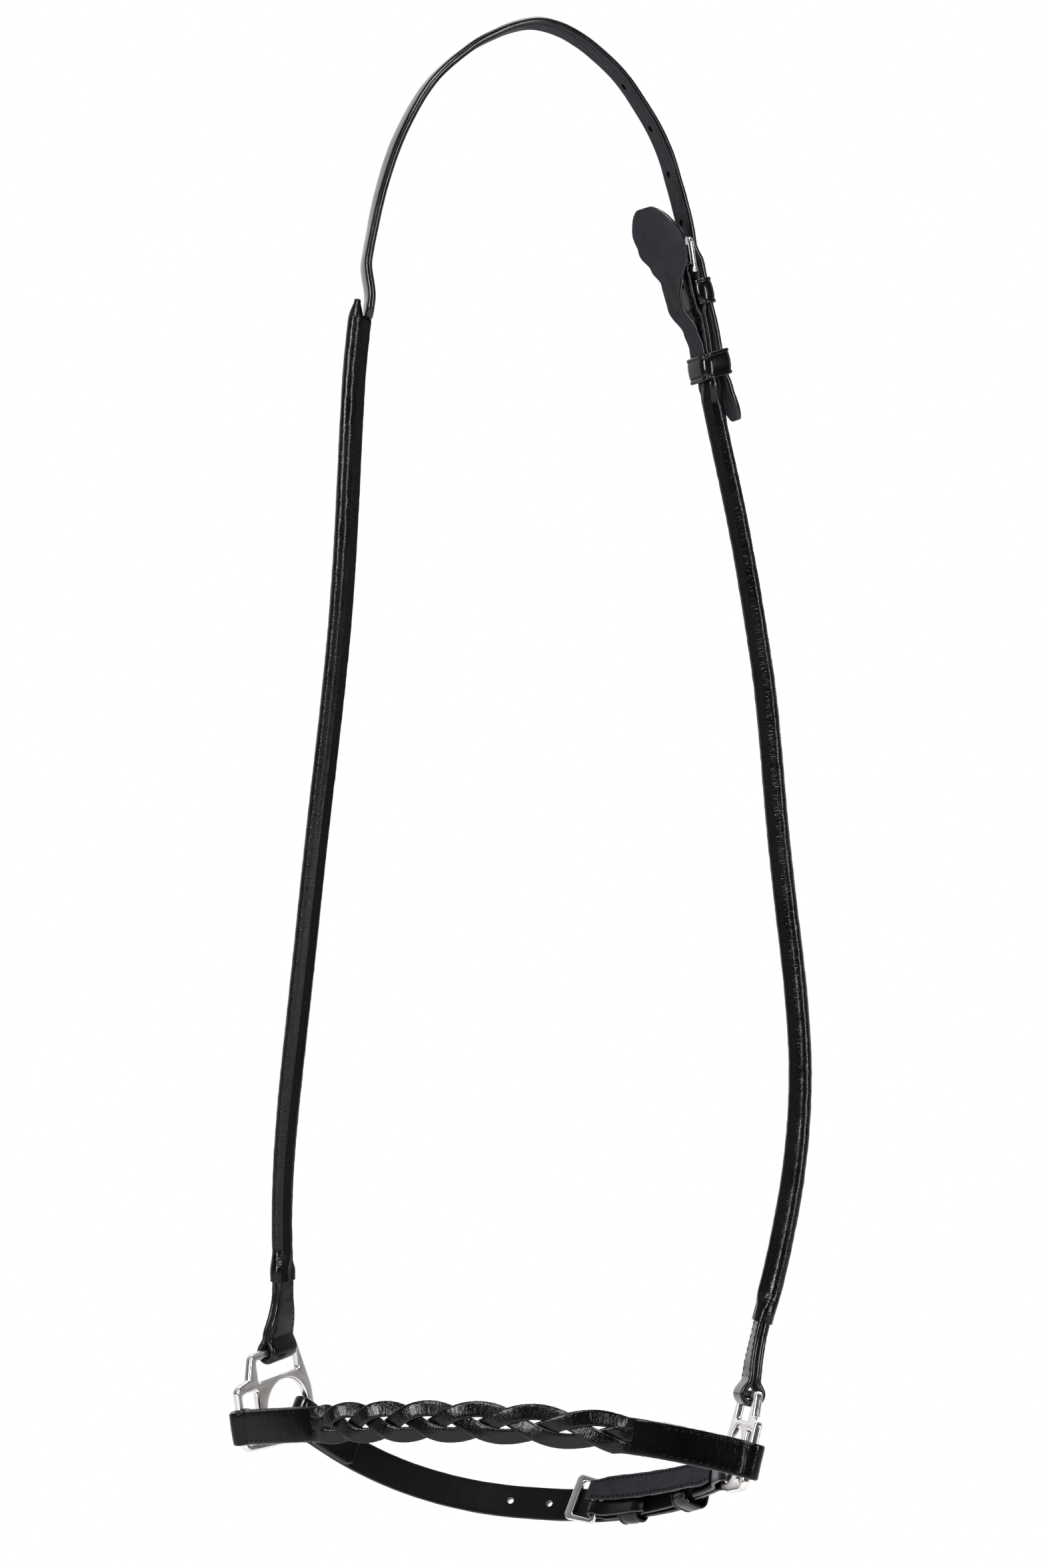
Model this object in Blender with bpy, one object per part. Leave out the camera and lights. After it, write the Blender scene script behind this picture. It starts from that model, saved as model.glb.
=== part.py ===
"""Drop noseband with a braided nosepiece and rolled cheeks, hung up by its headpiece.

Metres, +Z up, +X towards the horse's near side, +Y towards the back of the head.
The origin is on the underside of the headpiece's highest point.
Every strap follows a lane: a middle line with a direction across the leather and one out of it.
"""

import math

import bmesh
import bpy
import numpy as np
from mathutils import Matrix

# Gaps that every seam, fold and running fit shares.
SEAM_GAP = 0.0003
RUNNING_GAP = 0.0005
CUT_OVERRUN = 0.004

# Headstall: how far the loop reaches to a side, and its height down to the fittings' top bars.
HEADSTALL_REACH = 0.105
HEADSTALL_DROP = 0.580
CROWN_UNDERSIDE = 0.0019
ROUTE_SHARES = (
    (-1.0765, 0.254, -0.983), (-1.062, 0.250, -0.969), (-1.056, 0.245, -0.944), (-1.061, 0.229, -0.902),
    (-1.054, 0.206, -0.861), (-1.037, 0.179, -0.820), (-1.013, 0.147, -0.779), (-0.986, 0.112, -0.738),
    (-0.959, 0.076, -0.697), (-0.933, 0.038, -0.656), (-0.907, 0.001, -0.616), (-0.880, -0.036, -0.576),
    (-0.852, -0.070, -0.536), (-0.826, -0.102, -0.497), (-0.802, -0.131, -0.457), (-0.783, -0.158, -0.418),
    (-0.768, -0.181, -0.379), (-0.756, -0.200, -0.340), (-0.745, -0.213, -0.301), (-0.732, -0.220, -0.262),
    (-0.715, -0.218, -0.230), (-0.695, -0.209, -0.198), (-0.664, -0.198, -0.163), (-0.617, -0.184, -0.123),
    (-0.542, -0.163, -0.083), (-0.422, -0.128, -0.044), (-0.265, -0.081, -0.0165), (-0.150, -0.046, -0.0035),
    (-0.070, -0.022, 0.0030), (0.009, 0.003, 0.0062), (0.090, 0.028, 0.0042), (0.165, 0.050, -0.0012),
    (0.251, 0.077, -0.011), (0.364, 0.111, -0.029), (0.454, 0.139, -0.051), (0.518, 0.159, -0.070),
    (0.566, 0.174, -0.090), (0.595, 0.185, -0.110), (0.611, 0.191, -0.130), (0.624, 0.195, -0.150),
    (0.640, 0.199, -0.170), (0.666, 0.206, -0.192),
    (0.704, 0.215, -0.218), (0.735, 0.221, -0.251), (0.781, 0.224, -0.291), (0.830, 0.220, -0.332),
    (0.875, 0.207, -0.373), (0.914, 0.187, -0.414), (0.948, 0.160, -0.455), (0.976, 0.126, -0.495),
    (0.995, 0.087, -0.536), (1.010, 0.044, -0.576), (1.027, 0.000, -0.616), (1.048, -0.045, -0.656),
    (1.070, -0.089, -0.695), (1.087, -0.134, -0.734), (1.094, -0.176, -0.773), (1.084, -0.217, -0.812),
    (1.059, -0.253, -0.850), (1.020, -0.283, -0.888), (0.970, -0.306, -0.927), (0.924, -0.318, -0.956),
    (0.892, -0.326, -0.982), (0.882, -0.330, -0.994),
)
# How near a strap's end its width stops being square to the lane and follows the bar there.
BAR_REACH = 0.030
BAR_FADE = 30
# How far the strap's width is turned from straight back, along the lane from off to near.
WIDTH_TURN_SHARES = (
    (0.0, -40.0), (0.05, -34.0), (0.12, -8.0), (0.25, 10.0), (0.38, 13.0), (0.43, 20.0), (0.47, 20.0),
    (0.52, 17.0), (0.60, 26.0), (0.66, 29.0), (0.75, 22.0), (0.88, 14.0), (1.0, 8.0),
)

# Headpiece, one flat strap with rounded edges.
CROWN_WIDTH = 0.0125
CROWN_THICK = 0.0034
CROWN_ROUND_SHARE = 0.40
CROWN_END_TIP = 0.006
CROWN_STEP = 0.0095
OFF_CHEEK_LENGTH = 0.455
CROWN_OVERLAP_EASE = 0.016
HOLE_ACROSS = 0.0030
HOLE_PITCH = 0.0218
CROWN_HOLE_FIRST = 0.0170
CROWN_HOLES_ABOVE_BUCKLE = 4
CROWN_HOLES_BELOW_BUCKLE = 2

# Rolled cheeks: leather round a cord, with its two edges sewn together as a flange.
ROLL_RADIUS = 0.00325
ROLL_OFFSET = 0.0014
CORE_RADIUS = 0.00165
FLANGE_REACH = 0.0049
FLANGE_THICK = 0.0026
FLANGE_ROOT_SHARE = 0.55
MOUTH_HALF_WIDTH = 0.0066
MOUTH_HALF_THICK = 0.0045
MOUTH_WALL = 0.0011
MOUTH_STRAIGHT = 0.0045
MOUTH_TAPER = 0.009
MOUTH_SQUARE_SHARE = 0.6
SHOULDER_LENGTH = 0.011
SHOULDER_SHARE = 0.42
ROLL_STEP = 0.0165

# Flat ends of the cheeks.
TAB_WIDTH = 0.0155
TAB_NECK = 0.0096
TAB_THICK = 0.0025
TAB_MOUTH = 0.031
TAB_EYE_CLEARANCE = 0.0012
TAB_EYE_RISE = 0.0003
EYE_SPREAD = 0.006
INSERTION = 0.0036

# Cast fittings, in their own plane: back from the top bar's middle, and up.
CAST_THICK = 0.0035
CAST_EDGE = 0.0010
BAR_HALF = 0.00175
SLOT_FRONT = 0.0151
SLOT_REAR = 0.0099
SLOT_FLOOR = 0.0112
TOP_FRONT = 0.0178
TOP_REAR = 0.0112
WAIST_FRONT = 0.0213
SHOULDER_DROP = 0.0086
SHOULDER_SLOPE = 0.0018
NOSE_BAR_OUTER = 0.0291
NOSE_BAR_INNER = 0.0263
NOSE_SLOT_REAR = 0.0170
NOSE_SLOT_TOP = 0.0139
NOSE_SLOT_FLOOR = 0.0358
FOOT_DROP = 0.0387
FOOT_FRONT = 0.0080
RING_REAR = 0.0165
RING_FLOOR = 0.0413
RING_SIDE_TOP = 0.0200
RING_HOLE_RADIUS = 0.0122
RING_HOLE_DROP = 0.0256
RIM_REACH = 0.0169
CORNER_SMALL = 0.0013
CORNER_SLOT = 0.0018
CORNER_LARGE = 0.0032
RING_ROUND = 0.0145
ARC_STEP = math.radians(18)
ARC_STEP_SMALL = math.radians(40)
SMALL_ROUND = 0.0035
HOLE_SIDES = 24

# Noseband: the two fittings' places and how they hang.
NOSEBAND_MIDDLE = (-0.0111, -0.0042, -0.5835)
NOSEBAND_TURN = math.radians(-16.9)
BAR_SPACING = 0.2141
BAR_RISE = 0.0037
RING_INWARD = math.radians(23.2)
OFF_RING_TILT = math.radians(6.4)
OFF_RING_LEAN = math.radians(5.5)
NEAR_RING_TILT = math.radians(-9.5)
NEAR_RING_LEAN = math.radians(15.3)

# Nosepiece: one strap, slit in three between its flat ends and plaited.
NOSE_WIDTH = 0.0148
NOSE_THICK = 0.0026
NOSE_EYE_CLEARANCE = 0.00045
OFF_STRAP_DROP = 0.0275
NEAR_STRAP_DROP = 0.0265
NOSE_BOW = 0.028
NOSE_RISE = 0.0149
NOSE_RISE_SKEW_SHARE = 0.28
NOSE_LEAN_BACK = 0.10
NOSE_FOLD_BACK = 0.038
NOSE_FLAT_STEP = 0.007
BRAID_HALF_WIDTH = 0.0051
BRAID_LIFT = 0.00185
BRAID_STRAND_WIDTH = 0.0059
BRAID_STRAND_THICK = 0.0022
BRAID_START = 0.0518
BRAID_LOBE_START = 0.0157
BRAID_LOBE_END = 0.0280
BRAID_LOBES = 6
BRAID_LEAD = 0.0075
BRAID_INSERT = 0.0012
BRAID_STEPS_PER_LOBE = 8
STRAND_SQUARE_SHARE = 0.86

# Chin strap: a long half with holes, and a short half with the buckle.
CHIN_WIDTH = 0.0150
CHIN_THICK = 0.0024
CHIN_RADIAL = 0.01045
CHIN_EYE_CLEARANCE = 0.0005
CHIN_NEAR_CLEARANCE = 0.0009
CHIN_OFF_LEAVE = math.radians(39.5)
CHIN_NEAR_LEAVE = math.radians(40.0)
CHIN_NEAR_AIM = math.radians(24.0)
CHIN_OFF_HANDLE = 0.112
CHIN_NEAR_HANDLE = 0.100
CHIN_SAG = 0.0104
CHIN_NEAR_LIFT = 0.0179
CHIN_SLOPE = math.radians(34.0)
CHIN_FOLD_BACK = 0.036
CHIN_NEAR_LENGTH = 0.0988
CHIN_NEAR_FOLD = 0.030
CHIN_NECK = 0.0022
CHIN_TAIL = 0.0665
CHIN_STEP = 0.011
CHIN_HOLE_PITCH = 0.0185
CHIN_HOLE_FIRST = 0.0266
CHIN_HOLES_BEFORE_BUCKLE = 2
CHIN_HOLES_AFTER_BUCKLE = 2

# Buckles, the same pattern in two widths.
FRAME_THICK = 0.0022
FRAME_EDGE = 0.0007
FRAME_SIDE = 0.0020
FRAME_FRONT = 0.0034
FRAME_LENGTH = 0.0150
FRAME_CORNER = 0.0028
HEEL_RADIUS = 0.0011
CHIN_FRAME_SKEW = math.radians(-14)
CHIN_SKEW_REACH = 0.030
CHIN_FRAME_LIFT = -0.0006
CHIN_LIFT_REACH = 0.070
TONGUE_RADIUS = 0.0008
TONGUE_LOOP = math.radians(250)
TONGUE_SLOT = 0.0030
TONGUE_SLOT_REACH = 0.0070
TONGUE_HOLE = 0.0052
TONGUE_HOLE_LENGTH = 0.0062
TONGUE_HOLE_WIDTH = 0.0024
CHAPE_THICK = 0.0019

# Keepers: a fixed one sewn between the two layers of a fold, and a running one round everything.
KEEPER_WALL = 0.0013
KEEPER_LENGTH = 0.0115
KEEPER_EDGE = 0.0004
KEEPER_CORNER = 0.0016
KEEPER_EASE = 0.004
CHEEK_KEEPER_PLACE = 0.0098
CHEEK_RUNNER_PLACE = 0.0422
CHIN_KEEPER_PLACE = 0.0176
CHIN_RUNNER_PLACE = 0.0585
BILLET_TAIL = 0.0677
BILLET_SPRING = 0.0100
NEAR_CHEEK_LENGTH = 0.4950

# Guards, leather flaps behind the buckles: place from the heel bar, height, width and turn.
GUARD_THICK = 0.0018
CHEEK_GUARD_WIDTH = 0.0250
CHEEK_GUARD_REACH = 0.0295
CHEEK_GUARD_DEPTH = 0.0165
CHEEK_GUARD_TURN = math.radians(-13)
CHEEK_GUARD_TAIL = 0.0455
CHEEK_GUARD_SHARES = (
    (-1.00, 1.00, 1.00, 1.0), (-0.70, 0.90, 1.00, 1.0), (-0.42, 0.77, 1.00, 0.8), (-0.14, 0.60, 0.86, 0.4),
    (0.10, 0.56, 0.56, 0.0), (0.46, 0.56, 0.48, 0.0), (0.88, 0.30, 0.43, 0.0),
)
CHIN_GUARD_WIDTH = 0.0114
CHIN_GUARD_LIFT = 0.0042
CHIN_GUARD_THICK = 0.0020
CHIN_GUARD_START = 0.004
CHIN_GUARD_LENGTH = CHIN_NEAR_LENGTH * 0.8755

UP = np.array((0.0, 0.0, 1.0))


def unit(vector):
    return vector / np.linalg.norm(vector)


def ease(share):
    share = min(max(share, 0.0), 1.0)
    return share * share * (3 - 2 * share)


def between(a, b, share):
    return a + (b - a) * share


def table(rows, place):
    """Reads a table of (place, value) rows, eased between its rows."""
    for (p, a), (q, b) in zip(rows, rows[1:]):
        if place <= q:
            return between(a, b, ease((place - p) / (q - p)))
    return rows[-1][1]


def smooth_curve(points, steps):
    """A smooth line through the points."""
    points = [np.array(p, float) for p in points]
    points = [2 * points[0] - points[1], *points, 2 * points[-1] - points[-2]]
    line = []
    for a, b, c, d in zip(points, points[1:], points[2:], points[3:]):
        for k in range(steps):
            s = k / steps
            line.append(0.5 * (2 * b + (c - a) * s + (2 * a - 5 * b + 4 * c - d) * s**2
                               + (3 * b - a - 3 * c + d) * s**3))
    line.append(points[-2])
    return np.array(line)


class Lane:
    """A strap's middle line with the direction across the leather, read by distance."""

    def __init__(self, line, across):
        steps = np.linalg.norm(np.diff(line, axis=0), axis=1)
        self.line = line
        self.marks = np.concatenate(([0.0], np.cumsum(steps)))
        self.length = self.marks[-1]
        along = np.gradient(line, self.marks, axis=0)
        self.along = along / np.linalg.norm(along, axis=1)[:, None]
        self.across = np.array([across(m / self.length) for m in self.marks])

    def at(self, place):
        """The point there, and the directions along, across and out."""
        held = min(max(place, 0.0), self.length)
        point, along, across = (
            np.array([np.interp(held, self.marks, column) for column in rows.T])
            for rows in (self.line, self.along, self.across)
        )
        along = unit(along)
        square = ease(min(held, self.length - held) / BAR_REACH)
        across = unit(across - along * np.dot(across, along) * square)
        return point + along * (place - held), along, across, unit(np.cross(along, across))


def spread_steps(start, end, step):
    count = max(int(math.ceil(abs(end - start) / step)), 1)
    return [between(start, end, k / count) for k in range(count + 1)]


def straight(place):
    return 0.0, 0.0


def stations(lane, path, askew=straight):
    """Turns path points, each a place and a height off the lane, into points with directions.

    Askew gives, by place, a turn of the width in the leather's plane and a shift across it.
    """
    found = []
    for i, (place, height) in enumerate(path):
        before, after = path[max(i - 1, 0)], path[min(i + 1, len(path) - 1)]
        run, climb = after[0] - before[0], after[1] - before[1]
        size = math.hypot(run, climb)
        point, along, across, out = lane.at(place)
        face = (out * run - along * climb) / size
        turn, shift = askew(place)
        width = across * math.cos(turn) + along * math.sin(turn)
        found.append((point + out * height + across * shift, width, face))
    return found


def strap_section(width, thick, round_share=0.30):
    """An eight-sided strap section."""
    w, h = width / 2, thick / 2
    cut = min(thick * round_share, w * round_share)
    return [(w, -h + cut), (w, h - cut), (w - cut, h), (-w + cut, h),
            (-w, h - cut), (-w, -h + cut), (-w + cut, -h), (w - cut, -h)]


def round_section(radius, sides=8):
    turns = [2 * math.pi * k / sides for k in range(sides)]
    return [(radius * math.cos(a), radius * math.sin(a)) for a in turns]


def rings_along(lane, path, sections, askew=straight):
    rings = []
    for (point, across, face), section in zip(stations(lane, path, askew), sections):
        rings.append([point + across * w + face * h for w, h in section])
    return rings


def bare_object(name, mesh):
    thing = bpy.data.objects.new(name, mesh)
    bpy.context.scene.collection.objects.link(thing)
    return thing


def loft(name, rings, closed=False):
    """One closed skin over the rings, capped at both ends or joined end to start."""
    shape = bmesh.new()
    corners = [[shape.verts.new(tuple(p)) for p in ring] for ring in rings]
    pairs = list(zip(corners, corners[1:]))
    if closed:
        pairs.append((corners[-1], corners[0]))
    for a, b in pairs:
        for i in range(len(a)):
            j = (i + 1) % len(a)
            shape.faces.new((a[i], a[j], b[j], b[i]))
    if not closed:
        shape.faces.new(corners[0][::-1])
        shape.faces.new(corners[-1])
    bmesh.ops.recalc_face_normals(shape, faces=shape.faces)
    mesh = bpy.data.meshes.new(name)
    shape.to_mesh(mesh)
    shape.free()
    return bare_object(name, mesh)


def rounded(corners):
    """A closed outline from corners, each (x, y, radius), rounded by arcs."""
    points = []
    for i, (x, y, radius) in enumerate(corners):
        here = np.array((x, y))
        before = unit(np.array(corners[i - 1][:2]) - here)
        after = unit(np.array(corners[(i + 1) % len(corners)][:2]) - here)
        half = math.acos(float(np.clip(np.dot(before, after), -1, 1))) / 2
        centre = here + unit(before + after) * (radius / math.sin(half))
        start = here + before * (radius / math.tan(half)) - centre
        end = here + after * (radius / math.tan(half)) - centre
        turn = math.atan2(start[0] * end[1] - start[1] * end[0], float(np.dot(start, end)))
        steps = max(int(round(abs(turn) / (ARC_STEP if radius > SMALL_ROUND else ARC_STEP_SMALL))), 2)
        for k in range(steps + 1):
            a = turn * k / steps
            points.append((centre[0] + start[0] * math.cos(a) - start[1] * math.sin(a),
                           centre[1] + start[0] * math.sin(a) + start[1] * math.cos(a)))
    return points


def signed_area(points):
    return sum(a[0] * b[1] - b[0] * a[1] for a, b in zip(points, points[1:] + points[:1])) / 2


def casting(name, place, outer, holes, thick, edge, rounds=1):
    """A flat piece with holes and rounded edges, laid in the plane that place gives."""
    curve = bpy.data.curves.new(name, "CURVE")
    curve.dimensions = "2D"
    curve.fill_mode = "BOTH"
    curve.extrude = thick / 2 - edge
    curve.bevel_depth = edge
    curve.bevel_resolution = rounds
    curve.offset = -edge
    for number, loop in enumerate([outer, *holes]):
        if (signed_area(loop) > 0) == (number > 0):
            loop = loop[::-1]
        spline = curve.splines.new("POLY")
        spline.points.add(len(loop) - 1)
        for point, (x, y) in zip(spline.points, loop):
            point.co = (x, y, 0.0, 1.0)
        spline.use_cyclic_u = True
    sketch = bare_object(name + "_sketch", curve)
    graph = bpy.context.evaluated_depsgraph_get()
    mesh = bpy.data.meshes.new_from_object(sketch.evaluated_get(graph))
    bpy.data.objects.remove(sketch)
    origin, x_axis, y_axis, z_axis = place
    columns = Matrix([[x_axis[i], y_axis[i], z_axis[i], origin[i]] for i in range(3)] + [[0, 0, 0, 1]])
    shape = bmesh.new()
    shape.from_mesh(mesh)
    bmesh.ops.remove_doubles(shape, verts=shape.verts, dist=edge / 100)
    shape.transform(columns)
    bmesh.ops.recalc_face_normals(shape, faces=shape.faces)
    if shape.calc_volume(signed=True) < 0:
        bmesh.ops.reverse_faces(shape, faces=shape.faces)
    mesh = bpy.data.meshes.new(name)
    shape.to_mesh(mesh)
    shape.free()
    return bare_object(name, mesh)


def helper(thing):
    thing.hide_render = True
    thing.display_type = "WIRE"
    return thing


def cut(thing, cutter):
    change = thing.modifiers.new("cut_" + cutter.name, "BOOLEAN")
    change.operation = "DIFFERENCE"
    change.object = helper(cutter)


def join(thing, other):
    change = thing.modifiers.new("join_" + other.name, "BOOLEAN")
    change.operation = "UNION"
    change.object = helper(other)


def punch(name, lane, places, heights, length, width, depth):
    """Cutters for round or long holes through a strap, square to its face."""
    shape = bmesh.new()
    for place, height in zip(places, heights):
        point, along, across, out = lane.at(place)
        middle = point + out * height
        half = max(length - width, 0.0) / 2
        loop = []
        for side in (-1, 1):
            for k in range(7):
                a = math.pi * (k / 6 - 0.5) + (math.pi if side < 0 else 0.0)
                loop.append((side * half + math.cos(a) * width / 2, math.sin(a) * width / 2))
        if half == 0:
            loop = loop[:6] + loop[7:13]
        ends = []
        for lift in (-depth, depth):
            corners = [middle + along * x + across * y + out * lift for x, y in loop]
            ends.append([shape.verts.new(tuple(corner)) for corner in corners])
        for i in range(len(loop)):
            j = (i + 1) % len(loop)
            shape.faces.new((ends[0][i], ends[0][j], ends[1][j], ends[1][i]))
        shape.faces.new(ends[0][::-1])
        shape.faces.new(ends[1])
    bmesh.ops.recalc_face_normals(shape, faces=shape.faces)
    mesh = bpy.data.meshes.new(name)
    shape.to_mesh(mesh)
    shape.free()
    return bare_object(name, mesh)


def fold(centre, way, radius, ends, half, main_side=1):
    """The path of a strap folded round a bar, its inner layer first; half gives the layers' heights."""
    short, long = ends
    path = [(centre + way * d, -main_side * half(d)) for d in reversed(short)]
    for k in range(9):
        a = math.pi * k / 8
        path.append((centre - way * radius * math.sin(a), -main_side * radius * math.cos(a)))
    return path + [(centre + way * d, main_side * half(d)) for d in long]


def fold_steps(flank, spread, reach, step, keeper=()):
    """Distances from the fold at which a layer is drawn, also at both ends of a keeper there."""
    near = [flank] if flank > 0 else []
    near += [flank + spread * k / 3 for k in (1, 2, 3)]
    steps = near + spread_steps(near[-1], reach, step)[1:]
    kept = [d for d in steps if all(abs(d - end) > KEEPER_CORNER for end in keeper)]
    return sorted([*kept, *keeper])


def closing(flank, spread, radius, half):
    """The layers' height: the bar's up to the flank, then closing on each other."""
    return lambda d: between(radius, half, ease((d - flank) / spread))


def keeper_ends(place):
    return [place + side * (KEEPER_LENGTH / 2 + SEAM_GAP) for side in (-1, 1)]


def round_keeper(radius, half, start, end):
    """The layers' height where a keeper's wall is sewn between them."""
    held = half + KEEPER_WALL / 2 + RUNNING_GAP
    rows = ((0.0, radius), (start, held), (end, held), (end + KEEPER_EASE, half))
    return lambda d: table(rows, d)


def tip(width, distance, reach):
    """The width of a round-ended strap at this distance from its end."""
    x = 1 - min(max(distance / reach, 0.0), 1.0)
    return width * math.sqrt(max(1 - x * x * 0.86, 0.0))


# Where the fittings hang.
def noseband_point(x, y, z):
    c, s = math.cos(NOSEBAND_TURN), math.sin(NOSEBAND_TURN)
    mx, my, mz = NOSEBAND_MIDDLE
    return np.array((mx + x * c - y * s, my + x * s + y * c, mz + z))


def noseband_direction(x, y, z):
    return noseband_point(x, y, z) - noseband_point(0, 0, 0)


def ring_place(side):
    """A fitting's top bar middle, and its directions to the rear, up and outward."""
    tilt = OFF_RING_TILT if side < 0 else NEAR_RING_TILT
    lean = OFF_RING_LEAN if side < 0 else NEAR_RING_LEAN
    back = noseband_direction(-side * math.sin(RING_INWARD), math.cos(RING_INWARD), 0)
    outward = noseband_direction(side * math.cos(RING_INWARD), math.sin(RING_INWARD), 0)
    rising = UP * math.cos(lean) + outward * math.sin(lean)
    facing = outward * math.cos(lean) - UP * math.sin(lean)
    rear = back * math.cos(tilt) + rising * math.sin(tilt)
    upward = rising * math.cos(tilt) - back * math.sin(tilt)
    bar = noseband_point(side * BAR_SPACING / 2, 0, -side * BAR_RISE)
    return bar, rear, upward, facing


# The lane of the headstall, from the off fitting's bar over the head to the near one's.
def headstall_across(share):
    turn = math.radians(table(WIDTH_TURN_SHARES, share))
    level = np.array((-math.sin(turn), math.cos(turn), 0.0))
    bar = ring_place(-1 if share < 0.5 else 1)[1]
    return between(bar, level, ease(min(share, 1 - share) * BAR_FADE))


HEADSTALL_POINTS = [(x * HEADSTALL_REACH, y * HEADSTALL_REACH, z * HEADSTALL_DROP - CROWN_UNDERSIDE)
                    for x, y, z in ROUTE_SHARES]
HEADSTALL_POINTS = [ring_place(-1)[0], *HEADSTALL_POINTS, ring_place(1)[0]]
HEAD = Lane(smooth_curve(HEADSTALL_POINTS, 8), headstall_across)
CHEEK_HEEL = HEAD.length - NEAR_CHEEK_LENGTH
CHAPE_HALF = SEAM_GAP / 2 + CHAPE_THICK / 2
HEEL_ROUND = math.hypot(HEEL_RADIUS - FRAME_EDGE, FRAME_THICK / 2 - FRAME_EDGE) + FRAME_EDGE
HEEL_EYE = HEEL_ROUND + RUNNING_GAP + CHAPE_THICK / 2


def on_ring(side, rear, up):
    bar, rear_way, up_way, _ = ring_place(side)
    return bar + rear_way * rear + up_way * up


def ring_outline():
    return rounded([
        (-TOP_FRONT, BAR_HALF, CORNER_LARGE), (TOP_REAR, BAR_HALF, CORNER_LARGE),
        (RING_REAR, -RING_SIDE_TOP, RING_HOLE_RADIUS), (RING_REAR, -RING_FLOOR, RING_ROUND),
        (-FOOT_FRONT, -RING_FLOOR, RING_HOLE_RADIUS), (-NOSE_BAR_OUTER, -FOOT_DROP, CORNER_LARGE * 1.5),
        (-NOSE_BAR_OUTER, -SHOULDER_DROP - SHOULDER_SLOPE, CORNER_LARGE),
        (-WAIST_FRONT, -SHOULDER_DROP, CORNER_SMALL),
    ])


def ring_holes():
    cheek_slot = rounded([(-SLOT_FRONT, -BAR_HALF, CORNER_SMALL), (SLOT_REAR, -BAR_HALF, CORNER_SMALL),
                          (SLOT_REAR, -SLOT_FLOOR, CORNER_SMALL), (-SLOT_FRONT, -SLOT_FLOOR, CORNER_SMALL)])
    nose_slot = rounded([(-NOSE_BAR_INNER, -NOSE_SLOT_TOP, CORNER_SLOT),
                         (-NOSE_SLOT_REAR, -NOSE_SLOT_TOP, CORNER_SLOT),
                         (-NOSE_SLOT_REAR, -NOSE_SLOT_FLOOR, CORNER_SLOT),
                         (-NOSE_BAR_INNER, -NOSE_SLOT_FLOOR, CORNER_SLOT)])
    turns = [2 * math.pi * k / HOLE_SIDES for k in range(HOLE_SIDES)]
    ring = [(RING_HOLE_RADIUS * math.cos(a), -RING_HOLE_DROP + RING_HOLE_RADIUS * math.sin(a)) for a in turns]
    return [cheek_slot, nose_slot, ring]


def make_ring(name, side):
    return casting(name, ring_place(side), ring_outline(), ring_holes(), CAST_THICK, CAST_EDGE)


# Headpiece.
KEPT_HALF = CHAPE_HALF + KEEPER_WALL / 2 + RUNNING_GAP


def crown_height(place):
    """How far off its lane the headpiece runs, sewn over the off roll and lying over the buckle."""
    sewn = -(ROLL_RADIUS - ROLL_OFFSET + SEAM_GAP + CROWN_THICK / 2)
    over_front = FRAME_THICK / 2 + SEAM_GAP + CROWN_THICK / 2
    over_heel = HEEL_EYE + CHAPE_THICK / 2 + SEAM_GAP + CROWN_THICK / 2
    over_keeper = KEPT_HALF + CHAPE_THICK / 2 + SEAM_GAP + CROWN_THICK / 2
    over_mouth = MOUTH_HALF_THICK + 2 * RUNNING_GAP + CROWN_THICK / 2
    rows = (
        (OFF_CHEEK_LENGTH + CROWN_OVERLAP_EASE / 2, sewn),
        (OFF_CHEEK_LENGTH + CROWN_OVERLAP_EASE * 1.6, 0.0),
        (CHEEK_HEEL - FRAME_LENGTH * 3, 0.0),
        (CHEEK_HEEL - FRAME_LENGTH, over_front),
        (CHEEK_HEEL - FRAME_LENGTH * 0.8, over_front),
        (CHEEK_HEEL - HEEL_EYE, over_heel),
        (CHEEK_HEEL + HEEL_EYE, over_heel),
        (CHEEK_HEEL + CHEEK_KEEPER_PLACE + KEEPER_LENGTH, over_keeper),
        (CHEEK_HEEL + CHEEK_RUNNER_PLACE, over_keeper),
        (CHEEK_HEEL + CHEEK_RUNNER_PLACE + KEEPER_LENGTH, over_mouth),
        (CHEEK_HEEL + BILLET_TAIL, max(BILLET_SPRING, over_mouth)),
    )
    return table(rows, place)


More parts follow.
